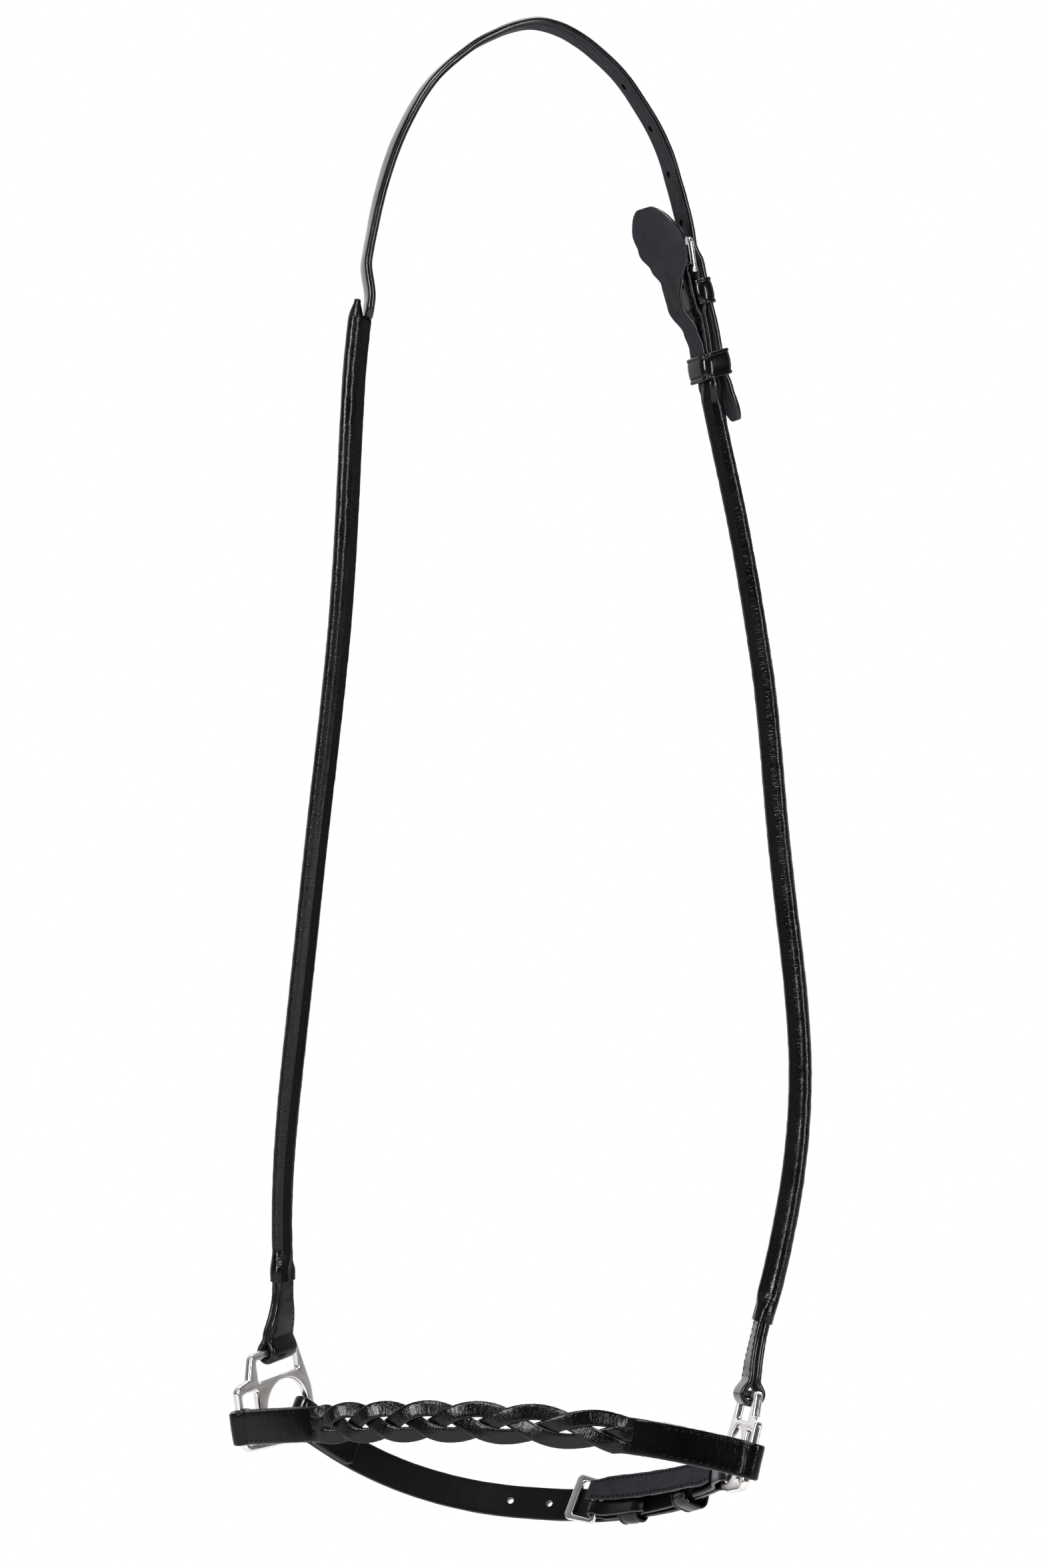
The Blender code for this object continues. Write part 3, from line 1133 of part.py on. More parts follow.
SMOOTH_ANGLE = math.radians(35)
BLACK = (0.012, 0.012, 0.013)
FINISHES = {
    "leather": (BLACK, 0.32, 0.0),
    "rough_leather": ((0.030, 0.030, 0.036), 0.70, 0.0),
    "cord": ((0.20, 0.18, 0.15), 0.90, 0.0),
    "nickel": ((0.62, 0.59, 0.56), 0.24, 1.0),
}
PIECES = {
    "crown_strap": "leather", "off_cheek_roll": "leather", "off_cheek_core": "cord",
    "off_cheek_tab": "leather", "near_cheek_roll": "leather", "near_cheek_core": "cord",
    "near_cheek_tab": "leather", "near_cheek_chape": "leather", "cheek_buckle_frame": "nickel",
    "cheek_buckle_tongue": "nickel", "cheek_buckle_guard": "rough_leather", "cheek_fixed_keeper": "leather",
    "cheek_running_keeper": "leather", "off_ring": "nickel", "near_ring": "nickel",
    "braided_nosepiece": "leather", "off_chin_strap": "leather", "near_chin_strap": "leather",
    "chin_buckle_frame": "nickel", "chin_buckle_tongue": "nickel", "chin_guard": "rough_leather",
    "chin_fixed_keeper": "leather", "chin_running_keeper": "leather",
}


def finish_pieces():
    for name, finish in PIECES.items():
        piece = bpy.data.objects[name]
        piece.data.materials.clear()
        piece.data.materials.append(material(name, *FINISHES[finish]))
        piece.data.shade_smooth()
        piece.data.set_sharp_from_angle(angle=SMOOTH_ANGLE)


def body(name, place, parent, pieces):
    """An empty on the body's joint axis, which carries its pieces."""
    pivot = bpy.data.objects.new(name, None)
    bpy.context.scene.collection.objects.link(pivot)
    pivot.parent = parent
    start = parent.matrix_world.translation if parent else (0.0, 0.0, 0.0)
    pivot.location = [a - b for a, b in zip(place, start)]
    bpy.context.view_layer.update()
    for piece in pieces:
        thing = bpy.data.objects[piece]
        thing.data.transform(Matrix.Translation([-c for c in place]))
        thing.parent = pivot
        for change in thing.modifiers:
            change.object.location = (0.0, 0.0, 0.0)
            change.object.data.transform(Matrix.Translation([-c for c in place]))
            change.object.parent = pivot
    return pivot


def make_bodies():
    noseband = ["off_ring", "near_ring", "braided_nosepiece"]
    chin = ["off_chin_strap", "near_chin_strap", "chin_buckle_frame", "chin_guard", "chin_fixed_keeper"]
    moving = [*noseband, *chin, "cheek_buckle_tongue", "cheek_running_keeper",
              "chin_buckle_tongue", "chin_running_keeper"]
    head = body("headstall", (0.0, 0.0, 0.0), None, [name for name in PIECES if name not in moving])
    body("cheek_tongue_pivot", HEAD.at(CHEEK_HEEL)[0], head, ["cheek_buckle_tongue"])
    body("cheek_keeper_slide", HEAD.at(CHEEK_HEEL + CHEEK_RUNNER_PLACE)[0], head, ["cheek_running_keeper"])
    swing = body("noseband_pivot", noseband_point(0, 0, 0), head, noseband)
    middle = (on_ring(-1, 0, -RING_HOLE_DROP) + on_ring(1, 0, -RING_HOLE_DROP)) / 2
    strap = body("chin_strap_pivot", middle, swing, chin)
    body("chin_tongue_pivot", CHIN.at(CHIN_HEEL)[0], strap, ["chin_buckle_tongue"])
    body("chin_keeper_slide", CHIN.at(CHIN_HEEL + CHIN_RUNNER_PLACE)[0], strap, ["chin_running_keeper"])


def main():
    for thing in list(bpy.data.objects):
        bpy.data.objects.remove(thing)
    make_crown()
    make_off_roll()
    make_near_roll()
    make_tabs()
    make_cheek_buckle()
    make_cheek_guard()
    make_ring("off_ring", -1)
    make_ring("near_ring", 1)
    make_nosepiece()
    make_off_chin()
    make_near_chin()
    make_chin_buckle()
    make_chin_guard()
    finish_pieces()
    make_bodies()


main()
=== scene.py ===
"""A drop noseband with a plaited nosepiece, hung up by its headpiece: its finished look."""
from math import acos, atan2, ceil, copysign, cos, hypot, pi, radians, sin, sqrt, tan

import bmesh
import bpy
import numpy as np
from mathutils import Matrix, Vector, noise


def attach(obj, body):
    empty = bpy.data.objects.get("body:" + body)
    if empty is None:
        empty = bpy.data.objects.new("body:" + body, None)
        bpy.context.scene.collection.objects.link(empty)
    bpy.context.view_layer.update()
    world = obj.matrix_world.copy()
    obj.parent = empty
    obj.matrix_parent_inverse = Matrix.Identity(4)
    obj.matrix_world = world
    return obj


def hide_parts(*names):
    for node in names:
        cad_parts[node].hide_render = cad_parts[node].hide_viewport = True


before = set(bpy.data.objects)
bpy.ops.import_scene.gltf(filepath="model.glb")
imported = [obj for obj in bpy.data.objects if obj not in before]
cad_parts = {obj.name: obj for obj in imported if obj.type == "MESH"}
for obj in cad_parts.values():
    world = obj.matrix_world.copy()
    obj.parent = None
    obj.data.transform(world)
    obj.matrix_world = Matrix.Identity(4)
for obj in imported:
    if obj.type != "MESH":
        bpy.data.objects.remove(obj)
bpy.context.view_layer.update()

# The two cast fittings. Each is one nickel-plated casting with a slot that the cheek is folded round,
# a tall slot for the nosepiece and a round ring for the chin strap. Its faces are satin and its edges polished.
CAST_THICK, CAST_EDGE, CAST_ARC, BAR_HALF = 0.0035, 0.0010, radians(4), 0.00175
SLOT_FRONT, SLOT_REAR, SLOT_FLOOR = 0.0151, 0.0099, 0.0112
TOP_FRONT, TOP_REAR, WAIST_FRONT = 0.0178, 0.0112, 0.0213
SHOULDER_DROP, SHOULDER_SLOPE = 0.0086, 0.0018
NOSE_BAR_OUTER, NOSE_BAR_INNER = 0.0291, 0.0263
NOSE_SLOT_REAR, NOSE_SLOT_TOP, NOSE_SLOT_FLOOR = 0.0170, 0.0139, 0.0358
FOOT_DROP, FOOT_FRONT = 0.0387, 0.0080
RING_REAR, RING_FLOOR, RING_SIDE_TOP = 0.0165, 0.0413, 0.0200
RING_HOLE_RADIUS, RING_HOLE_DROP, RING_HOLE_SIDES, RIM_REACH = 0.0122, 0.0256, 72, 0.0169
CORNER_SMALL, CORNER_SLOT, CORNER_LARGE, RING_ROUND = 0.0013, 0.0018, 0.0032, 0.0145
NOSEBAND_MIDDLE, NOSEBAND_TURN = (-0.0111, -0.0042, -0.5835), radians(-16.9)
BAR_SPACING, BAR_RISE = 0.2141, 0.0037
RING_INWARD = radians(23.2)
RING_TILT = {-1: radians(6.4), 1: radians(-9.5)}
RING_LEAN = {-1: radians(5.5), 1: radians(15.3)}
UP = np.array((0.0, 0.0, 1.0))
FLAT_SHARE, CAST_SHARP = 0.995, radians(50)


def unit(vector):
    return vector / np.linalg.norm(vector)


def noseband_point(x, y, z):
    c, s = cos(NOSEBAND_TURN), sin(NOSEBAND_TURN)
    mx, my, mz = NOSEBAND_MIDDLE
    return np.array((mx + x * c - y * s, my + x * s + y * c, mz + z))


def noseband_direction(x, y, z):
    return noseband_point(x, y, z) - noseband_point(0, 0, 0)


def ring_place(side):
    """A fitting's top bar middle, and its directions to the rear, up and outward."""
    tilt, lean = RING_TILT[side], RING_LEAN[side]
    back = noseband_direction(-side * sin(RING_INWARD), cos(RING_INWARD), 0)
    outward = noseband_direction(side * cos(RING_INWARD), sin(RING_INWARD), 0)
    rising = UP * cos(lean) + outward * sin(lean)
    facing = outward * cos(lean) - UP * sin(lean)
    rear = back * cos(tilt) + rising * sin(tilt)
    upward = rising * cos(tilt) - back * sin(tilt)
    return noseband_point(side * BAR_SPACING / 2, 0, -side * BAR_RISE), rear, upward, facing


def rounded(corners, step=CAST_ARC):
    """A closed outline from corners, each (x, y, radius), rounded by arcs."""
    points = []
    for i, (x, y, radius) in enumerate(corners):
        here = np.array((x, y))
        before = unit(np.array(corners[i - 1][:2]) - here)
        after = unit(np.array(corners[(i + 1) % len(corners)][:2]) - here)
        half = acos(float(np.clip(np.dot(before, after), -1, 1))) / 2
        centre = here + unit(before + after) * (radius / sin(half))
        start = here + before * (radius / tan(half)) - centre
        end = here + after * (radius / tan(half)) - centre
        turn = atan2(start[0] * end[1] - start[1] * end[0], float(np.dot(start, end)))
        steps = max(int(round(abs(turn) / step)), 3)
        for k in range(steps + 1):
            c, s = cos(turn * k / steps), sin(turn * k / steps)
            points.append((centre[0] + start[0] * c - start[1] * s, centre[1] + start[0] * s + start[1] * c))
    return points


def rounded_box(left, right, bottom, top, corner, step=CAST_ARC):
    places = ((left, bottom), (right, bottom), (right, top), (left, top))
    return rounded([(x, y, corner) for x, y in places], step)


def signed_area(points):
    return sum(a[0] * b[1] - b[0] * a[1] for a, b in zip(points, points[1:] + points[:1])) / 2


def linked(name, data):
    made = bpy.data.objects.new(name, data)
    bpy.context.scene.collection.objects.link(made)
    return made


def plain_mesh(holder):
    """The mesh that an object's curve or modifiers give."""
    return bpy.data.meshes.new_from_object(holder.evaluated_get(bpy.context.evaluated_depsgraph_get()))


def finished(name, shape, sharp=None):
    """Turns a built shape into a mesh, smooth up to this angle."""
    mesh = bpy.data.meshes.new(name)
    shape.to_mesh(mesh)
    shape.free()
    if sharp:
        mesh.set_sharp_from_angle(angle=sharp)
    return mesh


def new_piece(name, mesh, materials, body, *replaced):
    """Links a finished mesh, ties it to its body, and hides the solids that it stands for."""
    piece = linked(name, mesh)
    for finish in materials:
        mesh.materials.append(finish)
    if body:
        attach(piece, body)
    if replaced:
        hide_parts(*replaced)
    return piece


def laid_casting(name, place, outer, holes, thick, edge):
    """A flat casting with holes and rolled edges, laid in the plane that place gives."""
    curve = bpy.data.curves.new(name, "CURVE")
    curve.dimensions, curve.fill_mode = "2D", "BOTH"
    curve.extrude, curve.bevel_depth, curve.offset, curve.bevel_resolution = thick / 2 - edge, edge, -edge, 6
    for number, loop in enumerate([outer, *holes]):
        if (signed_area(loop) > 0) == (number > 0):
            loop = loop[::-1]
        spline = curve.splines.new("POLY")
        spline.points.add(len(loop) - 1)
        for point, (x, y) in zip(spline.points, loop):
            point.co = (x, y, 0.0, 1.0)
        spline.use_cyclic_u = True
    sketch = linked(name + "_sketch", curve)
    mesh = plain_mesh(sketch)
    bpy.data.objects.remove(sketch)
    origin, *axes = place
    shape = bmesh.new()
    shape.from_mesh(mesh)
    bmesh.ops.remove_doubles(shape, verts=shape.verts, dist=edge / 200)
    shape.transform(Matrix([[*(axis[i] for axis in axes), origin[i]] for i in range(3)] + [[0, 0, 0, 1]]))
    bmesh.ops.recalc_face_normals(shape, faces=shape.faces)
    if shape.calc_volume(signed=True) < 0:
        bmesh.ops.reverse_faces(shape, faces=shape.faces)
    for face in shape.faces:
        face.material_index = 0 if abs(face.normal.dot(Vector(axes[2]))) > FLAT_SHARE else 1
        face.smooth = True
    return finished(name, shape, CAST_SHARP)


def wire(tree, target, inputs):
    """Links inputs given as a socket or as a node's first output, and sets all others."""
    for key, value in inputs.items():
        if isinstance(value, bpy.types.Node):
            value = value.outputs[0]
        if isinstance(value, bpy.types.NodeSocket):
            tree.links.new(value, target.inputs[key])
        else:
            target.inputs[key].default_value = value


def node(tree, kind, inputs=None, **settings):
    made = tree.nodes.new(kind if kind.startswith(("Geometry", "Function")) else "ShaderNode" + kind)
    for key, value in settings.items():
        setattr(made, key, value)
    wire(tree, made, inputs or {})
    return made


def node_group(name, kind, given, found):
    """A group with its inputs, each (name, kind, value), and its outputs; gives both end nodes too."""
    tree = bpy.data.node_groups.new(name, kind + "NodeTree")
    for label, socket_kind, value in given:
        socket = tree.interface.new_socket(label, in_out="INPUT", socket_type="NodeSocket" + socket_kind)
        if value is not None:
            socket.default_value = value
    for label, socket_kind in found:
        tree.interface.new_socket(label, in_out="OUTPUT", socket_type="NodeSocket" + socket_kind)
    return tree, tree.nodes.new("NodeGroupInput").outputs, tree.nodes.new("NodeGroupOutput")


def times(tree, a, b, more=None):
    """The product of two values, and more added to it."""
    if more is None:
        return node(tree, "Math", {0: a, 1: b}, operation="MULTIPLY")
    return node(tree, "Math", {0: a, 1: b, 2: more}, operation="MULTIPLY_ADD")


WEAR = [("Height", "Float"), ("Tone", "Float"), ("Gloss", "Float")]


def handled_plating():
    """Plating that has been handled: faint polishing lines, soft cloudy patches and tiny dents."""
    tree, given, end = node_group("handled_plating", "Shader", [
        ("Place", "Vector", None), ("Line Scale", "Float", 900.0), ("Cloud Scale", "Float", 90.0)], WEAR)
    turned = node(tree, "Mapping", {"Vector": given["Place"], "Rotation": (0.5, 0.3, 0.7),
                                    "Scale": (1.0, 0.12, 1.0)})
    lines = node(tree, "TexNoise", {"Vector": turned, "Scale": given["Line Scale"], "Detail": 3.0,
                                    "Roughness": 0.6})
    cloud = node(tree, "TexNoise", {"Vector": given["Place"], "Scale": given["Cloud Scale"], "Detail": 4.0})
    wire(tree, end, {"Height": times(tree, lines, 0.35, cloud), "Tone": cloud,
                     "Gloss": times(tree, lines, cloud)})
    return tree


HANDLED_PLATING = handled_plating()


def new_material(name, **values):
    """A material, its tree and its shader with these constant inputs."""
    made = bpy.data.materials.new(name)
    made.use_nodes = True
    shader = made.node_tree.nodes["Principled BSDF"]
    for label, value in values.items():
        shader.inputs[label.replace("_", " ")].default_value = value
    return made, made.node_tree, shader


def ramp(tree, factor, *stops):
    tone = node(tree, "ValToRGB", {"Fac": factor})
    for element, (position, colour) in zip(tone.color_ramp.elements, stops):
        element.position, element.color = position, (*colour, 1.0)
    return tone


def worn(tree, shader, wear, stops, span, gloss, bump, depth):
    """Drives a shader's colour, gloss and relief by a wear group."""
    wear = wear.outputs
    spread = dict(zip(("From Min", "From Max", "To Min", "To Max"), (*span, *gloss)))
    wire(tree, shader, {
        "Base Color": ramp(tree, wear["Tone"], *stops),
        "Roughness": node(tree, "MapRange", {"Value": wear["Gloss"], **spread}),
        "Normal": node(tree, "Bump", {"Height": wear["Height"], "Strength": bump, "Distance": depth})})


def nickel(name, deep, pale, gloss, bump):
    """Nickel plate: its colour and gloss wander a little over the casting."""
    made, tree, shader = new_material(name, Metallic=1.0)
    place = node(tree, "TexCoord").outputs["Object"]
    wear = node(tree, "Group", {"Place": place}, node_tree=HANDLED_PLATING)
    worn(tree, shader, wear, ((0.3, deep), (0.7, pale)), (0.1, 0.4), gloss, bump, 0.0001)
    return made


NICKEL = (nickel("satin_nickel", (0.68, 0.62, 0.59), (0.90, 0.86, 0.84), (0.16, 0.28), 0.04),
          nickel("polished_nickel", (0.80, 0.77, 0.75), (0.94, 0.92, 0.90), (0.14, 0.22), 0.008))


def ring_outline():
    return rounded([
        (-TOP_FRONT, BAR_HALF, CORNER_LARGE), (TOP_REAR, BAR_HALF, CORNER_LARGE),
        (RING_REAR, -RING_SIDE_TOP, RING_HOLE_RADIUS), (RING_REAR, -RING_FLOOR, RING_ROUND),
        (-FOOT_FRONT, -RING_FLOOR, RING_HOLE_RADIUS), (-NOSE_BAR_OUTER, -FOOT_DROP, CORNER_LARGE * 1.5),
        (-NOSE_BAR_OUTER, -SHOULDER_DROP - SHOULDER_SLOPE, CORNER_LARGE),
        (-WAIST_FRONT, -SHOULDER_DROP, CORNER_SMALL)])


def ring_holes():
    turns = [2 * pi * k / RING_HOLE_SIDES for k in range(RING_HOLE_SIDES)]
    return [rounded_box(-SLOT_FRONT, SLOT_REAR, -BAR_HALF, -SLOT_FLOOR, CORNER_SMALL),
            rounded_box(-NOSE_BAR_INNER, -NOSE_SLOT_REAR, -NOSE_SLOT_TOP, -NOSE_SLOT_FLOOR, CORNER_SLOT),
            [(RING_HOLE_RADIUS * cos(a), -RING_HOLE_DROP + RING_HOLE_RADIUS * sin(a)) for a in turns]]


for name, side in (("off_ring", -1), ("near_ring", 1)):
    new_piece(name + "_casting", laid_casting(name, ring_place(side), ring_outline(), ring_holes(), CAST_THICK,
                                              CAST_EDGE), NICKEL, "noseband", name)


# The lane that the whole headstall follows, from the off fitting over the head to the near one: a middle
# line, a direction across the leather and one out of it. Places on it are metres from the off fitting.
HEADSTALL_REACH, HEADSTALL_DROP, CROWN_UNDERSIDE = 0.105, 0.580, 0.0019
ROUTE_SHARES = (
    (-1.0765, 0.254, -0.983), (-1.062, 0.250, -0.969), (-1.056, 0.245, -0.944), (-1.061, 0.229, -0.902),
    (-1.054, 0.206, -0.861), (-1.037, 0.179, -0.820), (-1.013, 0.147, -0.779), (-0.986, 0.112, -0.738),
    (-0.959, 0.076, -0.697), (-0.933, 0.038, -0.656), (-0.907, 0.001, -0.616), (-0.880, -0.036, -0.576),
    (-0.852, -0.070, -0.536), (-0.826, -0.102, -0.497), (-0.802, -0.131, -0.457), (-0.783, -0.158, -0.418),
    (-0.768, -0.181, -0.379), (-0.756, -0.200, -0.340), (-0.745, -0.213, -0.301), (-0.732, -0.220, -0.262),
    (-0.715, -0.218, -0.230), (-0.695, -0.209, -0.198), (-0.664, -0.198, -0.163), (-0.617, -0.184, -0.123),
    (-0.542, -0.163, -0.083), (-0.422, -0.128, -0.044), (-0.265, -0.081, -0.0165), (-0.150, -0.046, -0.0035),
    (-0.070, -0.022, 0.0030), (0.009, 0.003, 0.0062), (0.090, 0.028, 0.0042), (0.165, 0.050, -0.0012),
    (0.251, 0.077, -0.011), (0.364, 0.111, -0.029), (0.454, 0.139, -0.051), (0.518, 0.159, -0.070),
    (0.566, 0.174, -0.090), (0.595, 0.185, -0.110), (0.611, 0.191, -0.130), (0.624, 0.195, -0.150),
    (0.640, 0.199, -0.170), (0.666, 0.206, -0.192),
    (0.704, 0.215, -0.218), (0.735, 0.221, -0.251), (0.781, 0.224, -0.291), (0.830, 0.220, -0.332),
    (0.875, 0.207, -0.373), (0.914, 0.187, -0.414), (0.948, 0.160, -0.455), (0.976, 0.126, -0.495),
    (0.995, 0.087, -0.536), (1.010, 0.044, -0.576), (1.027, 0.000, -0.616), (1.048, -0.045, -0.656),
    (1.070, -0.089, -0.695), (1.087, -0.134, -0.734), (1.094, -0.176, -0.773), (1.084, -0.217, -0.812),
    (1.059, -0.253, -0.850), (1.020, -0.283, -0.888), (0.970, -0.306, -0.927), (0.924, -0.318, -0.956),
    (0.892, -0.326, -0.982), (0.882, -0.330, -0.994),
)
BAR_REACH, BAR_FADE = 0.030, 30
WIDTH_TURN_SHARES = (
    (0.0, -40.0), (0.05, -34.0), (0.12, -8.0), (0.25, 10.0), (0.38, 13.0), (0.43, 20.0), (0.47, 20.0),
    (0.52, 17.0), (0.60, 26.0), (0.66, 29.0), (0.75, 22.0), (0.88, 14.0), (1.0, 8.0),
)


def ease(share):
    share = min(max(share, 0.0), 1.0)
    return share * share * (3 - 2 * share)


def between(a, b, share):
    return a + (b - a) * share


def table(rows, place):
    """Reads a table of (place, value) rows, eased between its rows."""
    for (p, a), (q, b) in zip(rows, rows[1:]):
        if place <= q:
            return between(a, b, ease((place - p) / (q - p)))
    return rows[-1][1]


def smooth_curve(points, steps):
    points = [np.array(p, float) for p in points]
    points = [2 * points[0] - points[1], *points, 2 * points[-1] - points[-2]]
    line = []
    for a, b, c, d in zip(points, points[1:], points[2:], points[3:]):
        for k in range(steps):
            s = k / steps
            line.append(0.5 * (2 * b + (c - a) * s + (2 * a - 5 * b + 4 * c - d) * s**2
                               + (3 * b - a - 3 * c + d) * s**3))
    return np.array([*line, points[-2]])


def measured(points):
    """How far along a line each of its points lies."""
    return np.concatenate(([0.0], np.cumsum(np.linalg.norm(np.diff(points, axis=0), axis=1))))


class Lane:
    """A line with a direction across it; places on it are metres from its start."""

    def __init__(self, line, across):
        self.line, self.marks = np.array(line), measured(line)
        self.length = self.marks[-1]
        along = np.gradient(self.line, self.marks, axis=0)
        self.along = along / np.linalg.norm(along, axis=1)[:, None]
        self.across = np.array([across(m / self.length) for m in self.marks])

    def at(self, place):
        """The point there, and the directions along, across and out."""
        held = min(max(place, 0.0), self.length)
        point, along, across = (np.array([np.interp(held, self.marks, column) for column in rows.T])
                                for rows in (self.line, self.along, self.across))
        along = unit(along)
        square = ease(min(held, self.length - held) / BAR_REACH)
        across = unit(across - along * np.dot(across, along) * square)
        return point + along * (place - held), along, across, unit(np.cross(along, across))


def headstall_across(share):
    turn = radians(table(WIDTH_TURN_SHARES, share))
    bar = ring_place(-1 if share < 0.5 else 1)[1]
    return between(bar, np.array((-sin(turn), cos(turn), 0.0)), ease(min(share, 1 - share) * BAR_FADE))


HEADSTALL_POINTS = [(x * HEADSTALL_REACH, y * HEADSTALL_REACH, z * HEADSTALL_DROP - CROWN_UNDERSIDE)
                    for x, y, z in ROUTE_SHARES]
HEAD = Lane(smooth_curve([ring_place(-1)[0], *HEADSTALL_POINTS, ring_place(1)[0]], 8), headstall_across)


# The headpiece: one flat strap of bridle leather, sewn over the off cheek and buckled to the near one. Its
# grain side is glazed black, its flesh side a dull speckled grey, and its edges are rubbed round and dyed.
SEAM_GAP, RUNNING_GAP, FINE_STEP = 0.0003, 0.0005, 0.0012
CROWN_WIDTH, CROWN_THICK, CROWN_END_TIP, TIP_FULLNESS = 0.0125, 0.0034, 0.006, 0.86
OFF_CHEEK_LENGTH, CROWN_OVERLAP_EASE = 0.455, 0.016
NEAR_CHEEK_LENGTH, BILLET_TAIL, BILLET_SPRING = 0.4950, 0.0677, 0.0100
HOLE_ACROSS, HOLE_PITCH, CROWN_HOLE_FIRST, HOLE_SIDES = 0.0030, 0.0218, 0.0170, 28
TONGUE_HOLE, TONGUE_HOLE_LENGTH, TONGUE_HOLE_WIDTH, TONGUE_HOLE_EASE = 0.0052, 0.0062, 0.0024, 0.0004
FRAME_THICK, FRAME_EDGE, FRAME_LENGTH, HEEL_RADIUS = 0.0022, 0.0007, 0.0150, 0.0011
CHAPE_THICK, KEEPER_WALL, KEEPER_LENGTH = 0.0019, 0.0013, 0.0115
CHEEK_KEEPER_PLACE, CHEEK_RUNNER_PLACE = 0.0098, 0.0422
MOUTH_HALF_THICK, SEEN_MOUTH_WIDTH, SEEN_MOUTH_THICK, NEAR_TOP_SHARE = 0.0045, 0.0062, 0.0041, 0.85
ROLL_RADIUS, ROLL_OFFSET = 0.00325, 0.0014
CHEEK_HEEL = HEAD.length - NEAR_CHEEK_LENGTH
CHAPE_HALF = SEAM_GAP / 2 + CHAPE_THICK / 2
HEEL_ROUND = hypot(HEEL_RADIUS - FRAME_EDGE, FRAME_THICK / 2 - FRAME_EDGE) + FRAME_EDGE
HEEL_EYE = HEEL_ROUND + RUNNING_GAP + CHAPE_THICK / 2
KEPT_HALF = CHAPE_HALF + KEEPER_WALL / 2 + RUNNING_GAP
GRAIN, FLESH, EDGE = 0, 1, 2
STRAP_SLOTS = [EDGE] * 2 + [GRAIN] * 10 + [EDGE] * 5 + [FLESH] * 10 + [EDGE] * 3
TURNED_SLOTS = [EDGE] * 2 + [FLESH] * 10 + [EDGE] * 5 + [GRAIN] * 10 + [EDGE] * 3
GRAIN_CROWN, CREASE_DETAIL, DETAIL_SHARE = 0.05, 2.3, 0.5
END_SHARES = (0.0, 0.01, 0.03, 0.07, 0.14, 0.24, 0.36, 0.5, 0.66, 0.83, 1.0)
RUBBED_REACH, RUBBED_SHARE, LEATHER_SHARP = 0.0007, 0.45, radians(52)


def spread_steps(start, end, step):
    count = max(int(ceil(abs(end - start) / step)), 1)
    return [between(start, end, k / count) for k in range(count + 1)]


def straight(place):
    return 0.0, 0.0


def stations(lane, path, askew=straight):
    """Turns path points, each a place and a height off the lane, into points with directions."""
    found = []
    for i, (place, height) in enumerate(path):
        before, after = path[max(i - 1, 0)], path[min(i + 1, len(path) - 1)]
        run, climb = after[0] - before[0], after[1] - before[1]
        point, along, across, out = lane.at(place)
        face = (out * run - along * climb) / hypot(run, climb)
        turn, shift = askew(place)
        found.append((point + out * height + across * shift, across * cos(turn) + along * sin(turn), face))
    return found


def circle(radius, turns, lift=0.0):
    """The points of a circle at these turns, in degrees."""
    return [(radius * cos(radians(a)), lift + radius * sin(radians(a))) for a in turns]


def strap_section(width, thick):
    """A strap's section: grain face, rounded edge, flesh face, rounded edge."""
    w, h = width / 2, thick / 2
    r = min(h * 0.94, w * 0.9)
    ring = []
    for cx, cy, start in ((w - r, h - r, 0), (r - w, h - r, 90), (r - w, r - h, 180), (w - r, r - h, 270)):
        ring += [(cx + x, cy + y) for x, y in circle(r, [start + t for t in (0, 22, 45, 68, 90)])]
        if start in (0, 180):
            side, grown = (1, GRAIN_CROWN * thick) if start == 0 else (-1, 0)
            shares = [1 - k / 3 for k in range(1, 6)]
            ring += [(side * (w - r) * s, side * h + grown * (1 - s ** 2)) for s in shares]
    return ring


def rings_along(lane, path, sections, askew=straight):
    return [[point + across * w + face * h for w, h in section]
            for (point, across, face), section in zip(stations(lane, path, askew), sections)]


def skin_over(name, rings, slots=None, closed=False, crease=None, seed=0.0):
    """A closed skin over the rings. Its UV map is metres along and round; crease gives the depth of the
    leather's real creases and their length along and across."""
    shape = bmesh.new()
    layer = shape.loops.layers.uv.new("UVMap")
    sides = len(rings[0])
    slots = slots or [0] * sides
    corners = [[shape.verts.new(tuple(p)) for p in ring] for ring in rings]
    middle = rings[len(rings) // 2]
    run, girth = measured([np.mean(ring, axis=0) for ring in rings]), measured([*middle, middle[0]])
    pairs = [(i, i + 1, run[i + 1]) for i in range(len(rings) - 1)]
    if closed:
        pairs.append((len(rings) - 1, 0, run[-1] + FINE_STEP))
    for a, b, far in pairs:
        for i in range(sides):
            j = (i + 1) % sides
            face = shape.faces.new((corners[a][i], corners[a][j], corners[b][j], corners[b][i]))
            face.material_index = slots[i]
            places = ((run[a], girth[i]), (run[a], girth[i + 1]), (far, girth[i + 1]), (far, girth[i]))
            for loop, place in zip(face.loops, places):
                loop[layer].uv = place
    if not closed:
        for cap in (corners[0][::-1], corners[-1]):
            shape.faces.new(cap).material_index = slots[0]
    bmesh.ops.recalc_face_normals(shape, faces=shape.faces)
    shape.normal_update()
    if crease:
        depth, long, wide = crease
        for number, corner in enumerate(shape.verts):
            i, j = divmod(number, sides)
            spot = Vector((run[i] / long, girth[j] / wide, seed))
            drawn = noise.noise(spot) + DETAIL_SHARE * noise.noise(spot * CREASE_DETAIL)
            corner.co += corner.normal * depth * drawn
    for face in shape.faces:
        face.smooth = True
    return finished(name, shape, LEATHER_SHARP)


def dressed(name, rings, materials, body, *replaced, **skin):
    """A new piece whose skin lies over these rings."""
    return new_piece(name, skin_over(name, rings, **skin), materials, body, *replaced)


def tip(width, distance, reach):
    """The width of a round-ended strap at this distance from its end."""
    x = 1 - min(max(distance / reach, 0.0), 1.0)
    return width * sqrt(max(1 - x * x * TIP_FULLNESS, 0.0))


